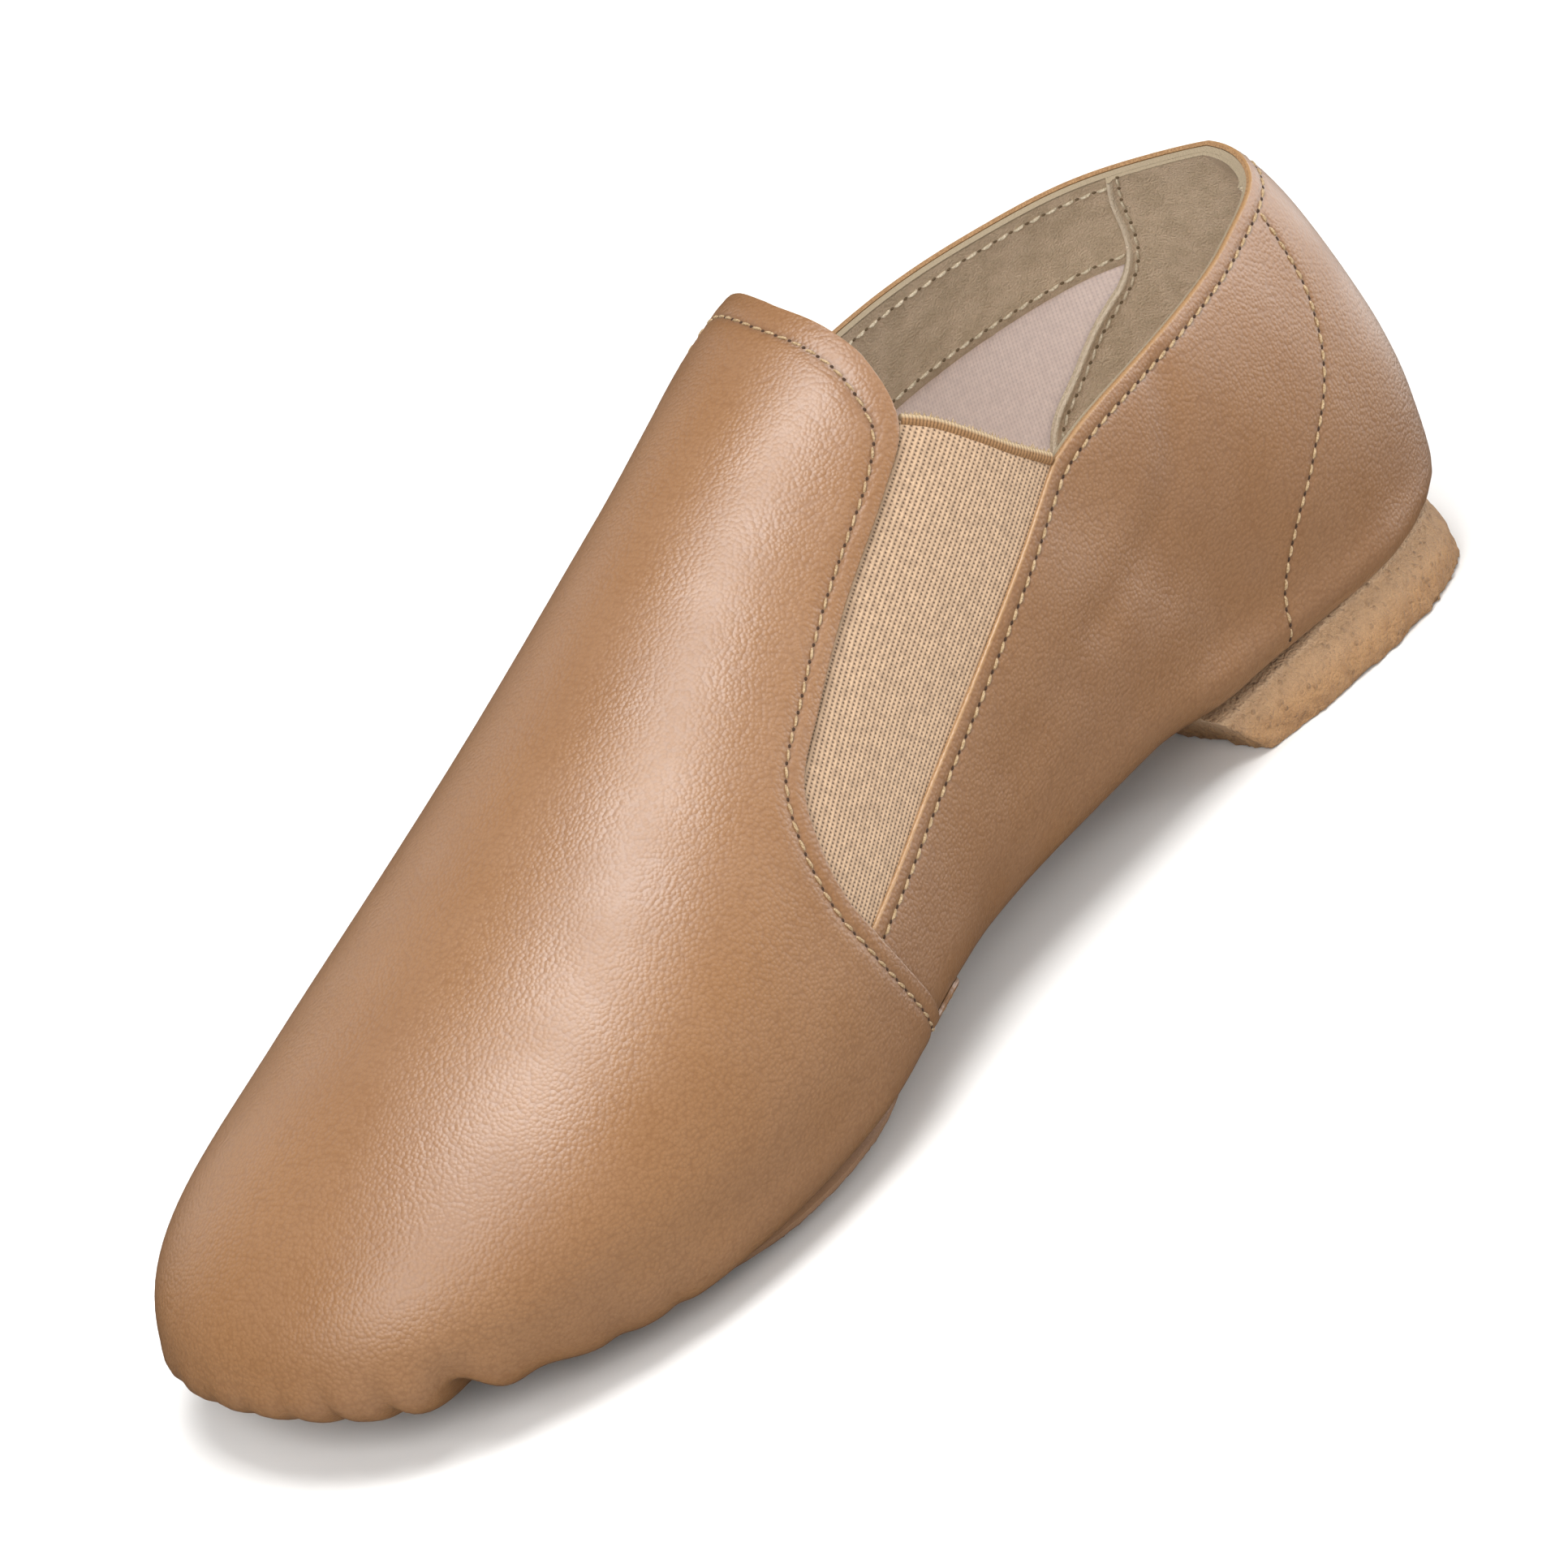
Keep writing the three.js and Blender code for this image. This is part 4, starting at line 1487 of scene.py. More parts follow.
LINING_THREAD = RawEdge("lining_thread", "#DACDB6", roughness=0.6, fibre_mm=0.25, shade="#B5A68A")
# The needle-hole finishes are painted shade: dark forms standing for the inside of each hole
NEEDLE_HOLE_SHADE = Finish("needle_hole", "#382414", roughness=0.9)
CUT_THREAD = RawEdge("elastic_cut_thread", "#B9A382", roughness=0.8, fibre_mm=0.25, shade="#94794F")
SUEDE_HOLE_SHADE = Finish("needle_hole_in_suede", "#6B5B45", roughness=0.9)


# ---- stitches


def on_surface(t: Array, g: Array, lift: float) -> Tuple[Array, Array]:
    """Points and normals of a line on a layer of the upper, with the relief of its creases."""
    points, normals = LAST.sample(t, g)
    return points + (relief(points, normals) + lift)[:, None] * normals, normals


@dataclass
class StitchRow:
    """One row of lockstitch: thread segments that dip into needle holes, drawn as dark forms of painted
    shade.
    """

    points: Array
    normals: Array
    pitch: float = 2.7
    width: float = 0.5
    height: float = 0.38
    slant: float = 9.0
    zigzag: float = 0.0
    # Half length of a segment as a share of the pitch, and half sizes of a needle hole
    fill: float = 0.37
    hole: Tuple[float, float, float] = (0.36, 0.31, 0.13)

    def frames(self) -> Tuple[Array, Array, Array, Array]:
        """Middle, way and normal of each segment, and the needle holes between them.

        Returns:
            Middles, ways, normals and holes, in mm.
        """
        keep = np.concatenate([[True], np.linalg.norm(np.diff(self.points, axis=0), axis=1) > 0.05])
        points, normals = self.points[keep], self.normals[keep]
        for _ in range(4):
            points[1:-1] = (points[:-2] + 2 * points[1:-1] + points[2:]) / 4
        run = lengths_along(points)
        count = max(int(round(run[-1] / self.pitch)), 2)
        where = np.linspace(0, run[-1], count + 1)
        ends = rows_at(where, run, points)
        ups = unit(rows_at(where, run, normals))
        if self.zigzag:
            way = unit(np.gradient(ends, axis=0))
            ends = ends + np.cross(ups, way) * (self.zigzag * (-1) ** np.arange(count + 1))[:, None]
        middle = (ends[1:] + ends[:-1]) / 2
        normal = unit(ups[1:] + ups[:-1])
        return middle, ends[1:] - ends[:-1], normal, ends

    def forms(self) -> List[Tuple[int, Array, Array]]:
        """Which form stands where: 0 for thread and 1 for a hole, its place and its three half axes.

        Returns:
            One row for each segment and hole.
        """
        middle, way, normal, ends = self.frames()
        length = np.linalg.norm(way, axis=1)
        forward = unit(way)
        across = unit(np.cross(normal, forward))
        slant = math.radians(self.slant)
        axis = math.cos(slant) * forward + math.sin(slant) * across
        beside = unit(np.cross(normal, axis))
        found = []
        for k in range(len(middle)):
            sizes = np.array([length[k] * self.fill, self.width / 2, self.height])
            found.append((0, middle[k], sizes[:, None] * np.stack([axis[k], beside[k], normal[k]])))
        for k in range(len(ends)):
            j = min(k, len(middle) - 1)
            axes = np.stack([forward[j], across[j], normal[j]])
            found.append((1, ends[k], np.array(self.hole)[:, None] * axes))
        return found


def solid_form(segments: int, rings: int) -> Tuple[Array, Faces]:
    """Vertices and faces of a unit ball, to be shaped and copied.

    Args:
        segments: faces round it.
        rings: faces along it.

    Returns:
        Its points and faces.
    """
    bpy.ops.object.select_all(action="DESELECT")
    bpy.ops.mesh.primitive_uv_sphere_add(segments=segments, ring_count=rings, radius=1.0,
                                         rotation=(0, math.pi / 2, 0))
    bpy.ops.object.transform_apply(location=False, rotation=True, scale=False)
    return take_apart(bpy.context.object)


class Sewing:
    """All stitch rows of one place, joined in one piece."""

    def __init__(self) -> None:
        """Shapes one thread segment and one needle hole."""
        ball, segment_faces = solid_form(8, 8)
        bow = ball.copy()
        bow[:, 0] = np.sign(ball[:, 0]) * np.abs(ball[:, 0]) ** 0.8
        bow[:, 2] = ball[:, 2] * 0.75 + 0.35 - 0.9 * bow[:, 0] ** 4
        self.forms = ((bow, segment_faces), solid_form(8, 4))

    def piece(self, name: str, slot: str, rows: Sequence[StitchRow], thread: Finish = THREAD,
              hole: Finish = NEEDLE_HOLE_SHADE) -> Piece:
        """One piece of several rows.

        Args:
            name: its name.
            slot: not used, only handed on.
            rows: its rows of stitches.
            thread: finish of the thread.
            hole: finish of the needle holes.

        Returns:
            The piece.
        """
        verts, faces, slots = [], [], []
        count = 0
        for kind, place, axes in (form for row in rows for form in row.forms()):
            points, form_faces = self.forms[kind]
            verts.append(place + points @ axes)
            faces += [tuple(count + i for i in face) for face in form_faces]
            slots += [kind] * len(form_faces)
            count += len(points)
        piece = mesh_piece(name, np.concatenate(verts), faces, slots=slots)
        smooth(piece, 80.0)
        finish_piece(piece, slot, (thread, hole))
        return piece


def finish_piece(piece: Piece, slot: str, finishes: Sequence[Finish], *nodes: str) -> None:
    """Gives a piece its materials, hangs it under the root body and hides the solids that it stands for.

    Args:
        piece: the piece.
        slot: not used.
        finishes: its finishes by slot number.
        *nodes: the solids that it stands for.
    """
    # Clearing an empty list would set every face back to slot 0
    if piece.data.materials:
        piece.data.materials.clear()
    for finish in finishes:
        piece.data.materials.append(finish.material())
    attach(piece, "root")
    if nodes:
        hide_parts(*nodes)


# ---- leather of the upper

EDGE_ROUND = 0.32
# The scaled distance from the vamp's edge at which its stitch row always lies
STITCH_AT = 3.0
VAMP_START = 84.0


def rounded(distance: Array, radius: float = EDGE_ROUND) -> Array:
    """Drop of a rounded edge at a distance from it."""
    inside = np.clip(radius - distance, 0, radius)
    return radius - np.sqrt(np.maximum(radius * radius - inside * inside, 0))


@dataclass
class Vamp:
    """The front of the upper with its tongue, one piece of coated leather pleated in under the toe."""

    sewing: Sewing
    thickness: float = 0.62
    cell: float = 1.2
    toe_cell: float = 0.75
    tongue_margin: float = 4.6
    side_margin: float = 3.0
    arch_margin: float = 1.4
    thread_depth: float = 0.16

    def margin(self, run: Array, total: float) -> Array:
        """Distance of the stitch row from the edge, along the edge from the bottom line.

        Args:
            run: lengths along the edge.
            total: length of the whole edge.

        Returns:
            Distances, mm.
        """
        half = np.minimum(run, total - run)
        crest = total / 2
        value = lerp(self.arch_margin, self.side_margin, ease(half, 30, 58))
        return lerp(value, self.tongue_margin, ease(half, crest - 42, crest - 24))

    def build(self) -> List[Piece]:
        """Builds the vamp and its stitches.

        Returns:
            The vamp and its stitches.
        """
        seam = vamp_edge()
        total = float(seam.run[-1])

        def scaled(t: Array, g: Array) -> Array:
            """Distance from the edge, in which the stitch row is always at the same value."""
            distance, run = seam.nearest(LAST.sample(t, g)[0])
            return distance * STITCH_AT / self.margin(run, total)

        stations = rim_spaced(float(LAST.station(VAMP_START)), 1.0, self.cell, self.toe_cell,
                              PLEATS.centre[0])
        sheet = Sheet("vamp", stations, girth_spaced(self.cell))
        # Lines of points along the edge and the stitches, so that their relief is sharp
        sheet.cut(Cut(scaled, 0.0, (0.1, 0.25, 0.5, 1.1, 1.9, 2.45, STITCH_AT, 3.55, 4.1, 5.2)))
        sheet.wrap()
        distance, run = seam.nearest(sheet.points)
        value = distance * STITCH_AT / self.margin(run, total)
        groove = self.thread_depth * bell(value - STITCH_AT, 0.75)
        puff = 0.10 * bell(value - 1.5, 0.8) + 0.12 * bell(value - 5.0, 1.8)
        lift = relief(sheet.points, sheet.normals)
        outer = lift - groove + puff - rounded(np.maximum(distance, 0))
        inner = lift - self.thickness
        # Painted shade in the groove along the stitch row
        crease = 0.55 * bell(value - STITCH_AT, 0.35)
        raw = 0.5 * (1 - ease(distance, 0.05, 0.3)) * ease(sheet.points[:, 2], 20, 34)
        piece = sheet.shell(outer, inner, {"crease": crease, "raw": raw})
        finish_piece(piece, "leather", (LEATHER,), "upper")
        row = on_surface(*seam.offset(self.margin(seam.run, total)), -self.thread_depth)
        return [piece, self.sewing.piece("vamp_stitches", "leather", [StitchRow(*row, width=0.44)])]


@dataclass
class Quarter:
    """The back of the upper: both quarters and the heel in one piece of coated leather."""

    sewing: Sewing
    thickness: float = 0.9
    step: float = 0.7
    cell: float = 1.4
    margin: float = 2.6
    centre_seam: ClassVar[Tuple[float, float]] = (56.0, 133.0)

    @staticmethod
    def from_centre(t: Array, g: Array) -> Array:
        """Distance from the seam under the arch, where the two quarters are butted.

        Args:
            t: stations.
            g: ring values.

        Returns:
            Distances, mm.
        """
        points = LAST.sample(t, g)[0]
        away = points[:, 1] - LAST.swing(LAST.station(points[:, 0]))
        under = (points[:, 2] < 26) & (points[:, 0] > Quarter.centre_seam[0] - 2)
        return np.where(under, away, FAR)

    def build(self) -> List[Piece]:
        """Builds the quarters with the collar's and the counter's stitches.

        Returns:
            The quarters and their stitches.
        """
        seam = quarter_edge()
        counters = {side: side_line(COUNTER_LINE, side.value) for side in Side}
        stations = rim_spaced(0.0, float(LAST.station(QUARTER_END + 1.5)), self.cell)
        sheet = Sheet("quarter", stations, girth_spaced(self.cell))
        sheet.cut(Cut(lambda t, g: seam.nearest(LAST.sample(t, g)[0])[0], 0.0,
                      (0.1, 0.25, 0.5, 1.0, 1.7, 2.15, self.margin, 3.05, 3.6, 4.6)))
        for line in counters.values():
            sheet.cut(Cut(lambda t, g, line=line: line.nearest(LAST.sample(t, g)[0])[0], None,
                          (-0.9, -0.45, 0.0, 0.45, 0.9)))
        sheet.cut(Cut(self.from_centre, None, (-1.0, -0.6, -0.3, 0.3, 0.6, 1.0)))
        sheet.wrap()
        distance = seam.nearest(sheet.points)[0]
        groove = 0.18 * bell(distance - self.margin, 0.55)
        # Painted shade in the grooves along the stitch row, the butted seam and the counter lines
        crease = 0.55 * bell(distance - self.margin, 0.35)
        middle = self.from_centre(sheet.t, sheet.g)
        groove += 0.3 * bell(middle, 0.35)
        crease += 0.5 * bell(middle, 0.3)
        for side, line in counters.items():
            away, _ = line.nearest(sheet.points)
            on_side = (sheet.points[:, 1] * side.value > 2.0) & (distance > self.margin + 0.6)
            near = bell(away, 0.5) * on_side
            groove += 0.2 * near
            crease += 0.45 * bell(away, 0.35) * on_side
        lift = relief(sheet.points, sheet.normals)
        puff = 0.08 * bell(distance - 1.3, 0.7)
        outer = lift - self.step - groove + puff - rounded(np.maximum(distance, 0))
        inner = lift - self.step - self.thickness
        raw = 1 - ease(distance, 0.2, 0.42)
        piece = sheet.shell(outer, inner, {"crease": np.clip(crease, 0, 0.7), "raw": raw}, rim_slot=1)
        finish_piece(piece, "leather", (LEATHER, RAW_EDGE), "upper")
        beside = seam.offset(self.margin)
        points, normals = on_surface(*beside, -self.step - 0.18)
        shown = (points[:, 2] > 30.5) & (points[:, 0] < 153.5)
        rows = [StitchRow(points[shown], normals[shown])]
        for line in counters.values():
            points, normals = on_surface(line.stations, line.ring, -self.step - 0.2)
            away = seam.nearest(points)[0]
            shown = (away > self.margin) & (points[:, 2] > 13.5)
            rows.append(StitchRow(points[shown], normals[shown], pitch=2.5, width=0.45, slant=4.0))
        seam_t = np.linspace(*LAST.station(np.array(self.centre_seam)), 200)
        rows.append(StitchRow(*on_surface(seam_t, np.zeros(200), -self.step - 0.2), pitch=1.7,
                              width=0.42, height=0.3, slant=0.0, zigzag=0.8))
        return [piece, self.sewing.piece("quarter_stitches", "leather", rows)]


# ---- elastic gores


@dataclass
class Gore:
    """A triangle of woven elastic between vamp and quarter, with a folded top edge."""

    side: Side
    outer: float = -1.3
    inner: float = -2.25
    under: float = 4.5
    rib_way: float = -26.5
    # Sewn in stretched, so that its ribs stand closer than on the roll
    rib_spread: float = 1.12
    cells: Tuple[int, int] = (64, 96)
    thread_pitch: float = 0.3
    thread_width: float = 0.26

    def outline(self) -> Tuple[Array, Array]:
        """The quarter's edge and the vamp's edge from the top down, x and z in mm.

        Returns:
            Two lines.
        """
        size = np.array([LAST.length, LAST.instep_height])
        back = curve_through(np.array(QUARTER_EDGE) * size, 60)
        front = curve_through(np.array(((0.392, 0.859),) + VAMP_EDGE[1:8]) * size, 60)
        return back, front

    def build(self) -> List[Piece]:
        """Builds the elastic, its folded edge and the cut threads on it.

        Returns:
            Three pieces.
        """
        back, front = self.outline()
        top = curve_through(np.array(GORE_TOP) * [LAST.length, LAST.instep_height], 40)
        across = np.array([math.sin(math.radians(self.rib_way)), -math.cos(math.radians(self.rib_way))])
        out_back = back + self.under * across
        out_front = front - self.under * across
        flat, faces = take_apart(flat_grid(*self.cells))
        u = (flat[:, 0] + 1) / 2
        v = (flat[:, 1] + 1) / 2
        at = v * (len(back) - 1)
        low = rows_at(at, np.arange(len(back)), out_back)
        high = rows_at(at, np.arange(len(front)), out_front)
        place = lerp(low, high, u[:, None])
        # The top rows follow the top edge of the gore
        head = rows_at(u * (len(top) - 1), np.arange(len(top)), top)
        shift = head - lerp(out_back[0], out_front[0], u[:, None])
        place = place + shift * ((1 - v) ** 3)[:, None]
        t, g = LAST.at_side(place[:, 0], place[:, 1], self.side.value)
        points, normals = LAST.sample(t, g)
        lift = relief(points, normals)
        outer = points + (lift + self.outer)[:, None] * normals
        inner = points + (lift + self.inner)[:, None] * normals
        weave = np.stack([place @ across, place @ np.array([-across[1], across[0]]), np.zeros(len(place))],
                         axis=1)
        weave[:, 0] *= self.rib_spread
        piece = closed_wall(self.name("web"), outer, inner, faces, {"weave": weave})
        finish_piece(piece, "elastic", (ELASTIC,), "gore_%s" % self.side.name.lower())
        return [piece, *self.folded_edge(top)]

    def name(self, part: str) -> str:
        """Name of one of the gore's pieces."""
        return "gore_%s_%s" % (self.side.name.lower(), part)

    def folded_edge(self, top: Array) -> List[Piece]:
        """The rolled top edge, sewn over with close threads, and its fringe.

        Args:
            top: the top edge, x and z in mm.

        Returns:
            The edge and its fringe.
        """
        line = top[1:-1]
        t, g = LAST.at_side(line[:, 0], line[:, 1], self.side.value)
        points, normals = LAST.sample(t, g)
        way = unit(np.gradient(points, axis=0))
        beside = unit(np.cross(normals, way))
        if beside[0, 2] < 0:
            beside = -beside
        centre = points + (self.outer + self.inner) / 2 * normals + 0.1 * beside
        around = 12
        verts, faces, weave, pale = [], [], [], []
        run = lengths_along(centre)
        for i in range(len(centre)):
            for k in range(around):
                angle = 2 * math.pi * k / around
                reach = 0.85 * math.cos(angle) * normals[i] + 1.0 * math.sin(angle) * beside[i]
                verts.append(centre[i] + reach)
                weave.append((run[i], angle, 0.0))
                pale.append(0.85 if math.sin(angle) > 0.2 else 0.0)
        for i in range(len(centre) - 1):
            for k in range(around):
                a, b = i * around + k, i * around + (k + 1) % around
                faces.append((a, b, b + around, a + around))
        faces.append(tuple(range(around))[::-1])
        faces.append(tuple(range((len(centre) - 1) * around, len(centre) * around)))
        layers = {"weave": np.array(weave), "pale": np.array(pale)}
        piece = mesh_piece(self.name("edge"), np.array(verts), faces, layers)
        face_outwards(piece)
        smooth(piece, 60.0)
        finish_piece(piece, "elastic", (ELASTIC_EDGE,))
        return [piece, self.fringe(centre, normals, beside)]

    def fringe(self, centre: Array, normals: Array, beside: Array) -> Piece:
        """Short cut threads that stand up along the folded edge.

        Args:
            centre: middle of the fold, points in mm.
            normals: unit normals there.
            beside: directions up the web.

        Returns:
            The fringe.
        """
        run = lengths_along(centre)
        count = int(run[-1] / self.thread_pitch)
        rng = np.random.default_rng(11)
        where = np.linspace(0.6, run[-1] - 0.6, count) + rng.uniform(-0.05, 0.05, count)
        base, out, up = (rows_at(where, run, rows) for rows in (centre, normals, beside))
        way = unit(np.gradient(base, axis=0))
        lean = rng.normal(0, 0.22, (count, 2))
        depth = rng.uniform(-0.5, 0.5, (count, 1))
        root = base + 0.7 * up + depth * out
        tip = root + rng.uniform(0.55, 1.0, (count, 1)) * unit(up + lean[:, :1] * way + lean[:, 1:] * out)
        half = 0.5 * self.thread_width
        corners = [root + half * (a * way + b * out) for a, b in ((1, 1), (-1, 1), (-1, -1), (1, -1))]
        verts = np.stack(corners + [tip], axis=1).reshape(-1, 3)
        quads = ((0, 1, 4), (1, 2, 4), (2, 3, 4), (3, 0, 4), (3, 2, 1, 0))
        faces = [tuple(5 * i + k for k in quad) for i in range(count) for quad in quads]
        piece = mesh_piece(self.name("fringe"), verts, faces)
        face_outwards(piece)
        finish_piece(piece, "elastic", (CUT_THREAD,))
        return piece


# ---- linings and insole


@dataclass
class Linings:
    """What shows inside: cotton, the suede strip along the collar and the suede counter lining."""

    sewing: Sewing
    strip_width: float = 20.0
    strip_rows: Tuple[float, float] = (2.7, 18.3)
    counter_row: float = 1.9
    # Depths below the leather's outer face at which each layer shows
    strip_face: float = 2.62
    counter_face: float = 3.2
    insole_turn: float = 42.0
    insole_cells: Tuple[int, int] = (150, 44)
    cell: float = 2.0
    fine_cell: float = 1.4

    def weave(self, sheet: Sheet) -> Dict[str, Array]:
        """Weave coordinates in mm, across and along.

        Args:
            sheet: the sheet.

        Returns:
            The attribute, by name.
        """
        girth = sheet.g * HALF_GIRTH
        along = LAST.along(sheet.t)
        return {"weave": np.stack([along, girth, np.zeros(len(girth))], axis=1)}

    def build(self) -> List[Piece]:
        """Builds the linings of the quarters and of the vamp, and the insole.

        Returns:
            The pieces.
        """
        collar = collar_line()
        quarter = self.quarter_lining()
        strip, strip_rows = self.collar_strip(collar)
        counter, counter_rows = self.counter_lining(collar)
        stitches = self.sewing.piece("lining_stitches", "lining", strip_rows + counter_rows, LINING_THREAD,
                                     SUEDE_HOLE_SHADE)
        return [quarter, strip, counter, stitches, self.vamp_lining(), self.insole()]

    def quarter_lining(self) -> Piece:
        """Cotton behind both quarters.

        Returns:
            The lining.
        """
        edge = quarter_edge()
        sheet = Sheet("quarter_lining", rim_spaced(0.0, float(LAST.station(QUARTER_END)), self.cell),
                      girth_spaced(self.cell))
        sheet.cut(Cut(lambda t, g: edge.nearest(LAST.sample(t, g)[0])[0], 1.2))
        sheet.wrap()
        lift = relief(sheet.points, sheet.normals)
        piece = sheet.shell(lift - 1.66, lift - 2.05, self.weave(sheet))
        finish_piece(piece, "lining", (COTTON,))
        return piece

    def collar_strip(self, collar: Seam) -> Tuple[Piece, List[StitchRow]]:
        """The suede strip along the collar.

        Args:
            collar: the collar's line.

        Returns:
            The strip and its two rows of stitches.
        """
        corner = COLLAR[-1][0] * LAST.length

        def from_collar(t: Array, g: Array) -> Array:
            """Distance below the collar."""
            return collar.nearest(LAST.sample(t, g)[0])[0]

        def behind_corner(t: Array, g: Array) -> Array:
            """Distance behind the front corner of the collar."""
            return corner - 0.4 - LAST.sample(t, g)[0][:, 0]

        sheet = Sheet("collar_strip", rim_spaced(0.0, float(LAST.station(corner + 2)), 1.6),
                      girth_spaced(1.6, 0.2, 1.8))
        sheet.cut(Cut(from_collar, 0.15, (0.35, 0.6, 1.5, 2.7, 4.0, 18.3)))
        sheet.cut(Cut(lambda t, g: self.strip_width - from_collar(t, g), 0.0))
        sheet.cut(Cut(behind_corner, 0.0))
        sheet.wrap()
        distance = collar.nearest(sheet.points)[0]
        lift = relief(sheet.points, sheet.normals)
        inner = lift - self.strip_face + rounded(np.maximum(self.strip_width - distance, 0), 0.3)
        outer = lift - 2.07 + 0.4 * (1 - ease(distance, 0.9, 1.6))
        piece = sheet.shell(outer, inner, {"top": 1 - ease(distance, 0.3, 0.5)}, rim_slot=1)
        finish_piece(piece, "lining", (OLIVE_SUEDE, BINDING))
        rows = []
        for level in self.strip_rows:
            points, normals = on_surface(*collar.offset(level), -self.strip_face)
            shown = points[:, 0] < corner - 2.5
            rows.append(StitchRow(points[shown], -normals[shown], width=0.55))
        return piece, rows

    def counter_lining(self, collar: Seam) -> Tuple[Piece, List[StitchRow]]:
        """The suede counter lining with its piped front edges.

        Args:
            collar: the collar's line.

        Returns:
            The lining and its two rows of stitches.
        """
        edges = [side_line(COUNTER_LINING_EDGE, side.value, flip=side is Side.MEDIAL) for side in Side]

        def behind(line: Seam, t: Array, g: Array) -> Array:
            """Distance behind one front edge, on its own side."""
            away = line.nearest(LAST.sample(t, g)[0])[0]
            return np.where((g < 1) == (line.ring[0] < 1), away, FAR)

        sheet = Sheet("counter_lining", rim_spaced(0.0, float(LAST.station(40.0)), self.fine_cell),
                      girth_spaced(self.fine_cell, 0.2, 1.8))
        sheet.cut(Cut(lambda t, g: collar.nearest(LAST.sample(t, g)[0])[0], 0.2, (0.5, 1.0, 2.7)))
        for line in edges:
            sheet.cut(Cut(partial(behind, line), 0.0, (0.25, 0.5, 0.8, 1.1, 1.9)))
        sheet.wrap()
        distance = collar.nearest(sheet.points)[0]
        lift = relief(sheet.points, sheet.normals)
        front = np.minimum(*(behind(line, sheet.t, sheet.g) for line in edges))
        layers = {"pale": 1 - ease(front, 0.75, 1.0), "top": 1 - ease(distance, 0.3, 0.5)}
        outer = lift - 2.64 + 0.9 * (1 - ease(distance, 0.9, 1.6))
        piece = sheet.shell(outer, lift - self.counter_face - 0.55 * bell(front - 0.4, 0.55), layers,
                            rim_slot=1)
        finish_piece(piece, "lining", (OLIVE_SUEDE, BINDING))
        rows = []
        for line in edges:
            points, normals = on_surface(*line.offset(self.counter_row), -self.counter_face)
            shown = collar.nearest(points)[0] > 2.5
            rows.append(StitchRow(points[shown], -normals[shown]))
        return piece, rows

    def vamp_lining(self) -> Piece:
        """Cotton behind the vamp, closing over the gores' front edges.

        Returns:
            The lining.
        """
        seam = vamp_edge()
        stations = rim_spaced(float(LAST.station(VAMP_START)), 1.0, self.cell)
        sheet = Sheet("vamp_lining", stations, girth_spaced(self.cell))
        sheet.cut(Cut(lambda t, g: seam.nearest(LAST.sample(t, g)[0])[0], 0.35))
        sheet.wrap()
        tongue = 1 - ease(np.abs(sheet.g - 1), 0.10, 0.2)
        distance = seam.nearest(sheet.points)[0]
        tongue = np.maximum(tongue, 0) * (1 - ease(distance, 14, 40))
        outer = lerp(-2.3, -0.66, tongue)
        leather = relief(sheet.points, sheet.normals)
        # Flat inside the pleats, but never through the leather where one is deep
        lift = np.minimum(leather * ease(sheet.points[:, 2], 8, 14), leather + 1.4)
        piece = sheet.shell(lift + outer, lift + outer - 0.42, self.weave(sheet), rim_slot=1)
        finish_piece(piece, "lining", (COTTON, BINDING))
        return piece

    def insole(self) -> Piece:
        """The insole, a soft sheet that turns up a little at its edge.

        Returns:
            The insole.
        """
        flat, faces = take_apart(flat_grid(*self.insole_cells))
        t = (flat[:, 0] + 1) / 2
        across = flat[:, 1]
        power = LAST.column("under", t)
        edge = math.radians(self.insole_turn)
        turn = np.arctan2(-math.sin(edge) ** (2 / power), math.cos(edge) ** (2 / power))
        share = LAST.ring_at(t, 1, turn)
        points, normals = LAST.sample(t, across * share)
        round_off = 0.6 * ease(np.abs(across), 0.93, 1.0)
        leather = relief(points, normals)
        under = np.minimum(-2.8, leather - 1.4)
        outer = points + under[:, None] * normals
        inner = points + np.minimum(round_off - 4.8, under - 1.2)[:, None] * normals
        weave = np.stack([points[:, 0], points[:, 1], np.zeros(len(points))], axis=1)
        piece = closed_wall("insole_sock", outer, inner, faces, {"weave": weave})
        edit_all(piece, partial(bpy.ops.mesh.remove_doubles, threshold=0.00002))
        finish_piece(piece, "lining", (SOCK,), "insole")
        return piece


# ---- sole


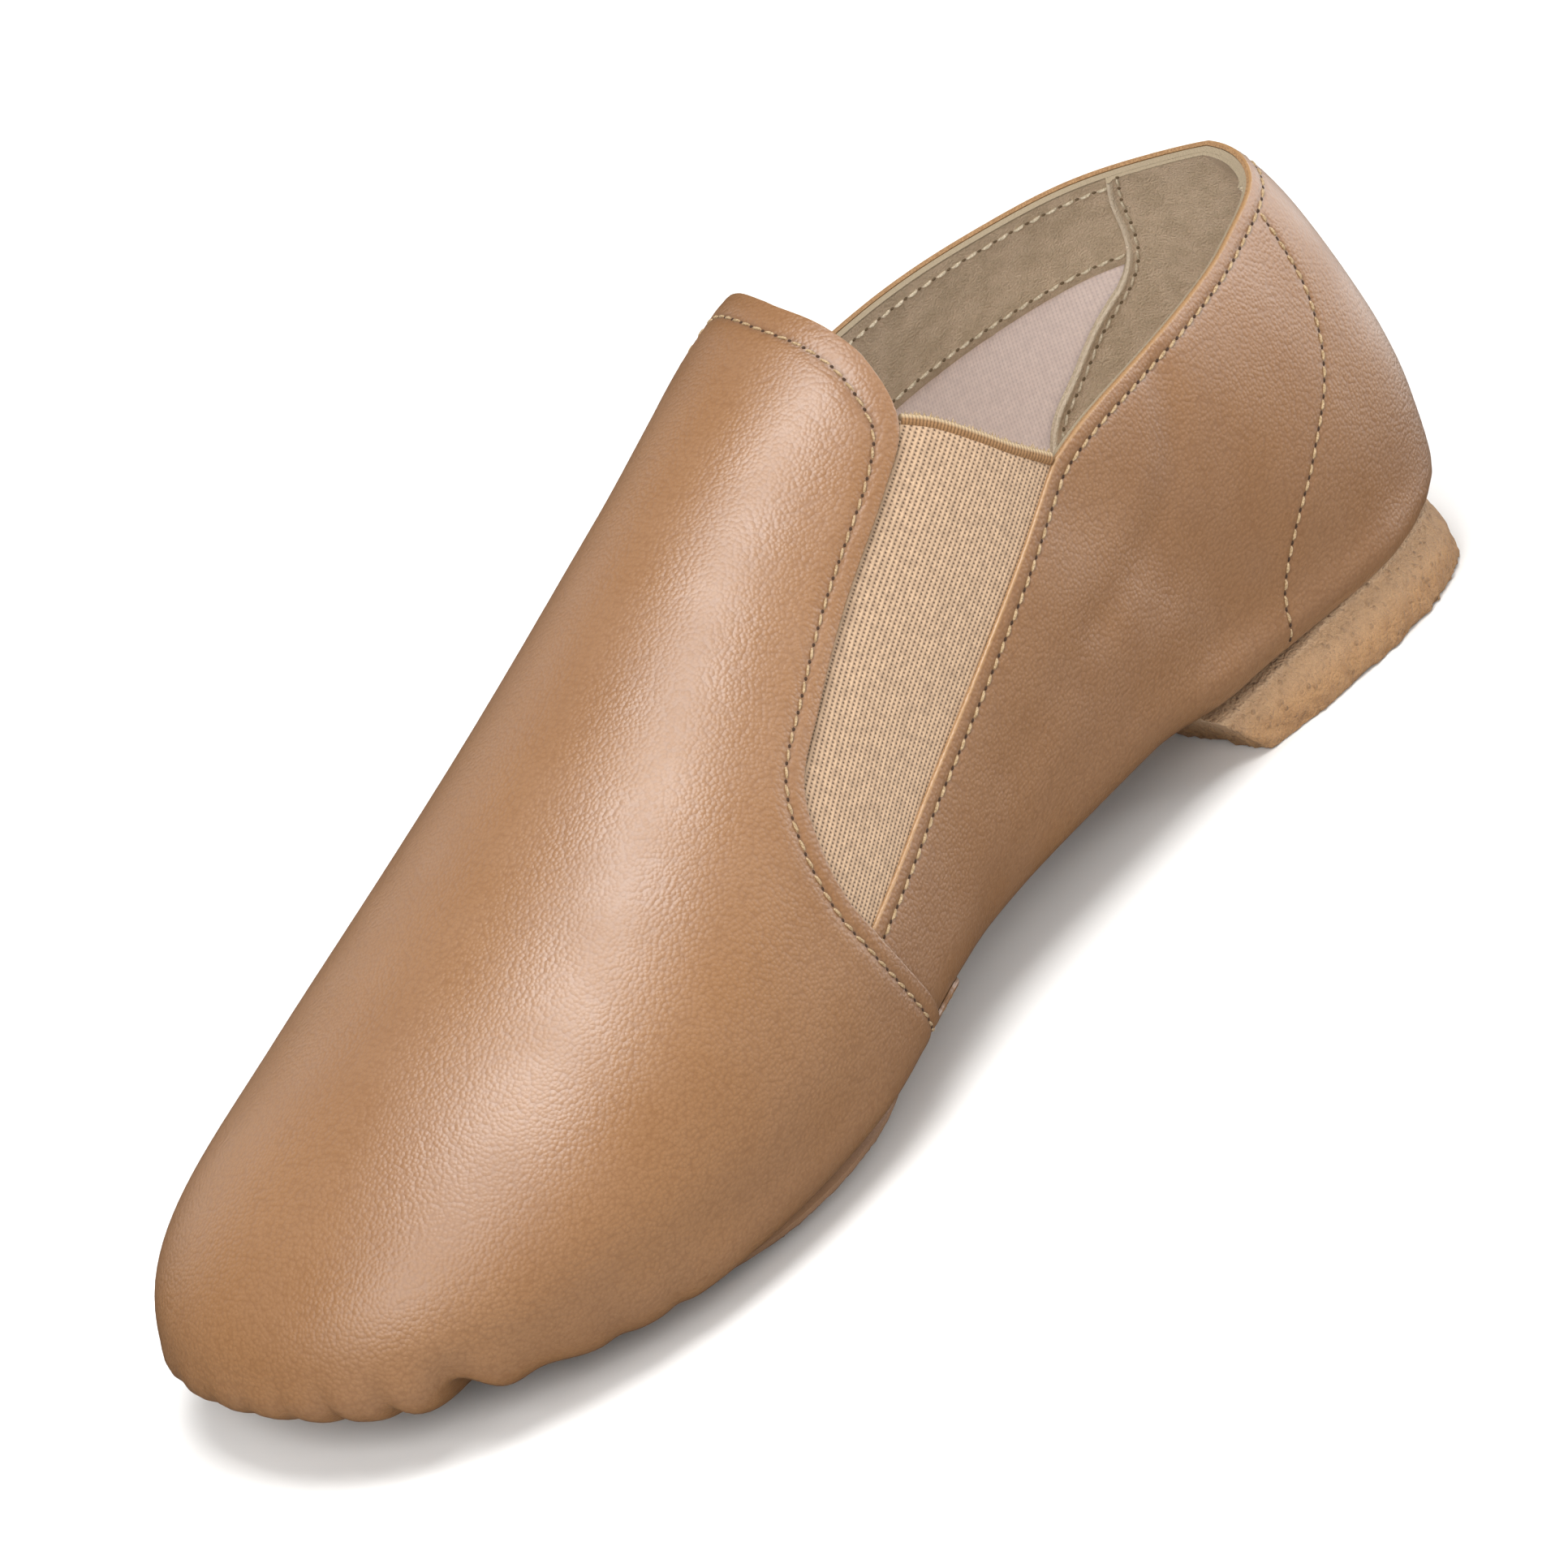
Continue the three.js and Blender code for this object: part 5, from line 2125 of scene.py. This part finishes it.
@dataclass
class ForefootPatch:
    """The rubber patch under the forefoot, moulded with pyramid studs."""

    length: float = 76.0
    width: float = 71.0
    to_toe: float = 42.0
    egg: float = 0.07
    thickness: float = 2.6
    gap: float = 0.3
    stud: float = 2.3
    stud_depth: float = 0.7
    turn: float = 28.0
    # The diamonds are this much longer than a square stud of the same pitch
    spread: float = 1.12
    cells: int = 4
    # Lines scored near the rim, as shares of the half width
    scores: Tuple[float, ...] = (0.006, 0.018, 0.038)

    def build(self) -> List[Piece]:
        """Builds the patch.

        Returns:
            The patch.
        """
        centre = LAST.length - self.to_toe - self.length / 2
        middle = float(LAST.swing(LAST.station(centre)))
        count = int(math.ceil(self.length / self.stud)) + 6
        piece = flat_grid(count * self.cells, count * self.cells)
        flat = positions(piece.data)[:, :2] * count / 2
        cell = np.abs(np.mod(flat, 1.0) - 0.5) * 2
        height = 1 - np.max(cell, axis=1)
        turn = math.radians(self.turn)
        # Diamonds: the two families of grooves cross at less than a right angle
        first = np.array([math.cos(turn), math.sin(turn)])
        second = np.array([-math.cos(turn), math.sin(turn)])
        plan = self.stud * self.spread * (flat[:, :1] * first + flat[:, 1:] * second)
        angle = np.arctan2(plan[:, 1], plan[:, 0])
        half_width = self.width / 2 * (1 + self.egg * np.cos(angle))
        egg = np.hypot(plan[:, 0] / (self.length / 2), plan[:, 1] / half_width)
        move_to(piece.data, np.stack([plan[:, 0], plan[:, 1], 1 - egg], axis=1))
        layer = piece.data.attributes.new("stud", "FLOAT", "POINT")
        layer.data.foreach_set("value", height.astype(np.float32))
        edit_all(piece, *(partial(bpy.ops.mesh.bisect, plane_co=(0, 0, level), plane_no=(0, 0, 1),
                                  threshold=1e-5, clear_inner=level == 0) for level in (0.0, *self.scores)))
        stud = attribute(piece.data, "stud")
        flat, faces = take_apart(piece)
        t, g = LAST.at_plan(centre + flat[:, 0], middle + flat[:, 1])
        points, normals = LAST.sample(t, g)
        rim = flat[:, 2] * self.width / 2
        soft = rounded(np.maximum(rim, 0), 1.4)
        relief_in = self.stud_depth * (1 - stud) * ease(rim, 0.3, 1.2)
        outer = points + (self.thickness + self.gap) * normals
        outer[:, 2] = np.maximum(outer[:, 2], 0.0)
        outer = outer - (soft + relief_in)[:, None] * np.array([0.0, 0.0, -1.0])
        inner = points + self.gap * normals
        piece = closed_wall("forefoot_patch", outer, inner, faces)
        smooth(piece, 25.0)
        finish_piece(piece, "sole_rubber", (RUBBER,), "outsole")
        return [piece]


@dataclass
class HeelBlock:
    """The low heel: a light block covered in suede, worn rough at its lower edge."""

    voxel: float = 0.65
    fuzz: float = 0.13
    stud: float = 2.4
    stud_depth: float = 0.55
    tread_front: float = 50.0
    tread_margin: float = 2.2
    # Wave length in mm and weight of each size of lump in the suede
    lumps: Tuple[Tuple[float, float], ...] = ((9.0, 0.9), (4.0, 0.8), (1.9, 1.0), (1.2, 0.8))
    # Height of its top edge at the back and at the front, mm
    top_edge: Tuple[float, float] = (10.3, 8.3)

    def tread(self, points: Array, normals: Array) -> Array:
        """Rise of the grooves between the diamond studs of the underside, behind its smooth front.

        Args:
            points: points in mm.
            normals: unit normals there.

        Returns:
            Rises, mm.
        """
        rim = points[(np.abs(normals[:, 2]) < 0.5) & (points[:, 2] < 2.0)]
        tree = tree_of(rim)
        under = (normals[:, 2] < -0.8) & (points[:, 2] < 1.0)
        inset = np.zeros(len(points))
        inset[under] = [tree.find(point)[2] for point in points[under]]
        inset = np.minimum(inset, self.tread_front - points[:, 0])
        first = points[:, 0] * 0.88 + points[:, 1] * 0.47
        second = points[:, 0] * 0.88 - points[:, 1] * 0.47
        groove = np.maximum(*(np.abs(np.mod(way / self.stud, 1.0) - 0.5) * 2 for way in (first, second)))
        return self.stud_depth * groove * under * ease(inset, self.tread_margin, self.tread_margin + 0.8)

    def waves(self, points: Array) -> Array:
        """Soft random lumps of several sizes.

        Args:
            points: points in mm.

        Returns:
            Their heights, about -1 to 1.
        """
        rng = np.random.default_rng(7)
        total = np.zeros(len(points))
        for size, weight in self.lumps:
            way = unit(rng.normal(size=(6, 3))) * 2 * math.pi / size
            phase = rng.uniform(0, 2 * math.pi, 6)
            total += weight * np.sin(points @ way.T + phase).sum(axis=1) / 6
        return total

    def shaped(self, points: Array) -> Tuple[Array, Array]:
        """The block as the leather presses it: lower than its solid, and leaning in.

        Args:
            points: points in mm.

        Returns:
            The points moved, and the height of the top edge at each.
        """
        # The top edge falls forward, and the front slopes out over the shank
        along = points[:, 0]
        points[:, 0] += ease(along, 38, 60) * (-1.6 + 0.68 * np.minimum(points[:, 2], 9.0))
        points[:, 1] *= 1 - 0.07 * ease(along, 44, 62)
        top = lerp(*self.top_edge, ease(along, 34, 64)) - 1.2 * (1 - ease(along, 2, 14))
        over = np.maximum(points[:, 2] - top, 0)
        points[:, 2] = np.where(over > 0, top + 0.45 * over, points[:, 2])
        # Above that edge it leans in under the leather
        points[:, 1] *= (1 - 0.045 * ease(points[:, 2], 3, 10)) * (1 - 0.14 * ease(over, 0, 2.5))
        points[:, 0] += 4.0 * ease(over, 0, 2.5) * (1 - ease(points[:, 0], 4, 16))
        return points, top

    def build(self) -> List[Piece]:
        """Remeshes a copy of the solid and roughens it.

        Returns:
            The block.
        """
        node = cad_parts["heel"]
        piece = bpy.data.objects.new("heel_block", node.data.copy())
        bpy.context.scene.collection.objects.link(piece)
        edit_all(piece, partial(bpy.ops.mesh.remove_doubles, threshold=0.00001))
        remesh = piece.modifiers.new("Remesh", "REMESH")
        remesh.mode = "VOXEL"
        remesh.voxel_size = self.voxel * MM
        bpy.ops.object.modifier_apply(modifier=remesh.name)
        mesh = piece.data
        points = positions(mesh) / MM
        normals = np.empty(3 * len(mesh.vertices), dtype=np.float32)
        mesh.vertices.foreach_get("normal", normals)
        normals = normals.reshape(-1, 3).astype(float)
        wall = 1 - np.abs(normals[:, 2])
        low = bell(points[:, 2], 1.6)
        lift = self.waves(points) * self.fuzz * (0.35 + wall + 4.2 * low * wall)
        points, top = self.shaped(points + ORIGIN)
        points = points + lift[:, None] * normals
        points[:, 2] = np.maximum(points[:, 2], 0.0) + self.tread(points, normals)
        layer = mesh.attributes.new("pale", "FLOAT", "POINT")
        # Paler along the top edge, partly rubbed fuzz and partly a painted highlight on its ledge, and
        # painted light on the upper wall
        pale = (0.4 * bell(points[:, 2] - top, 0.4) + 0.4 * ease(points[:, 2], 3, 8)) * wall
        layer.data.foreach_set("value", pale.astype(np.float32))
        move_to(mesh, placed(points))
        smooth(piece, 60.0)
        finish_piece(piece, "heel_suede", (HEEL_SUEDE,), "heel")
        return [piece]


# ---- studio


@dataclass(frozen=True)
class SoftBox:
    """One soft box that points at the shoe: where it stands, its side and its watts."""

    name: str
    place: Tuple[float, float, float]
    size: float
    power: float
    lights_colour: bool = True
    shows_in_gloss: bool = True

    def hang(self) -> None:
        """Makes the lamp."""
        data = bpy.data.lights.new(self.name, "AREA")
        data.shape = "SQUARE"
        data.size = self.size
        data.energy = self.power
        lamp = bpy.data.objects.new(self.name, data)
        lamp.location = self.place
        lamp.visible_diffuse = self.lights_colour
        lamp.visible_glossy = self.shows_in_gloss
        way = Vector((0.0, 0.0, 0.03)) - Vector(self.place)
        lamp.rotation_euler = way.to_track_quat("-Z", "Y").to_euler()
        bpy.context.scene.collection.objects.link(lamp)


# Large soft boxes overhead and from the camera's side, weak ones round the shoe, a card for the heel's gloss
SOFT_BOXES = (
    SoftBox("soft_box_top", (0.05, 0.25, 1.5), 0.9, 25.5),
    SoftBox("soft_box_toe", (1.2, 0.3, 1.0), 0.8, 11.0),
    SoftBox("soft_box_camera", (0.9, 1.1, 0.85), 0.9, 13.5, shows_in_gloss=False),
    SoftBox("soft_box_heel", (-1.3, 0.9, 0.6), 0.8, 8.0),
    SoftBox("gloss_card_heel", (-1.5, 0.15, 0.15), 1.5, 21.0, lights_colour=False),
    SoftBox("soft_box_medial", (0.0, -1.4, 0.6), 0.9, 3.6),
    SoftBox("fill_medial", (0.0, -1.4, 0.6), 0.9, 4.4, shows_in_gloss=False),
)


@dataclass
class Studio:
    """Floor, soft light and the camera at the photograph's angle to the shoe."""

    azimuth: float = 49.547
    elevation: float = 28.040
    roll: float = -20.785
    distance: float = 2.15033
    target: Tuple[float, float, float] = (-0.000303, -0.00046, 0.035)
    focal_pixels: float = 15467.0
    image_pixels: float = 1932.0
    sensor: float = 36.0
    closer: float = 1.2
    # The surround is seen white, but lights the shoe weakly
    surround: float = 0.25
    surround_seen: float = 0.95

    def build(self) -> None:
        """Makes floor, lights and camera."""
        self.floor()
        self.lights()
        self.camera()

    def camera(self) -> None:
        """A long lens, as in the photograph."""
        az, el, roll = (math.radians(value) for value in (self.azimuth, self.elevation, self.roll))
        back = Vector((math.cos(az) * math.cos(el), math.sin(az) * math.cos(el), math.sin(el)))
        right = Vector((-math.sin(az), math.cos(az), 0))
        up = back.cross(right)
        turned = math.cos(roll) * right + math.sin(roll) * up
        upright = -math.sin(roll) * right + math.cos(roll) * up
        data = bpy.data.cameras.new("camera")
        data.sensor_width = self.sensor
        data.lens = self.focal_pixels * self.closer / self.image_pixels * self.sensor
        data.clip_start = 0.05
        data.clip_end = 50
        camera = bpy.data.objects.new("camera", data)
        place = Matrix((turned, upright, back)).transposed().to_4x4()
        place.translation = Vector(self.target) + back * self.distance
        camera.matrix_world = place
        bpy.context.scene.collection.objects.link(camera)
        bpy.context.scene.camera = camera

    def floor(self) -> None:
        """A plain white floor."""
        bpy.ops.object.select_all(action="DESELECT")
        bpy.ops.mesh.primitive_plane_add(size=12, location=(0, 0, -0.0002))
        floor = bpy.context.object
        floor.name = "floor"
        bpy.ops.object.transform_apply(location=True, rotation=False, scale=False)
        paper = bpy.data.materials.new("paper_floor")
        paper.use_nodes = True
        shader = paper.node_tree.nodes["Principled BSDF"]
        shader.inputs["Base Color"].default_value = linear("#E9E8E6")
        shader.inputs["Roughness"].default_value = 0.9
        shader.inputs["Specular IOR Level"].default_value = 0.1
        floor.data.materials.append(paper)
        floor.visible_glossy = False

    def lights(self) -> None:
        """The soft boxes and a pale surround."""
        for box in SOFT_BOXES:
            box.hang()
        world = bpy.data.worlds.new("surround")
        bpy.context.scene.world = world
        world.use_nodes = True
        background = world.node_tree.nodes["Background"]
        background.inputs["Color"].default_value = (1.0, 1.0, 1.0, 1.0)
        seen = add(world.node_tree, "ShaderNodeLightPath").outputs["Is Camera Ray"]
        strength = Finish.sum_of(world.node_tree, (seen, self.surround_seen - self.surround),
                                 (1.0, self.surround))
        world.node_tree.links.new(strength, background.inputs["Strength"])
        world.cycles_visibility.glossy = False
        view = bpy.context.scene.view_settings
        view.view_transform = "Standard"
        view.look = "None"


# ---- the shoe


def main() -> None:
    """Builds the sub-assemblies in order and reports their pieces."""
    logging.basicConfig(level=logging.INFO, format="%(name)s: %(message)s")
    sewing = Sewing()
    makers = (Vamp(sewing), Quarter(sewing), Gore(Side.LATERAL), Gore(Side.MEDIAL), Linings(sewing),
              ForefootPatch(), HeelBlock())
    for maker in makers:
        for piece in maker.build():
            LOG.info("%s: %d faces", piece.name, len(piece.data.polygons))
    Studio().build()


if __name__ == "__main__":
    main()
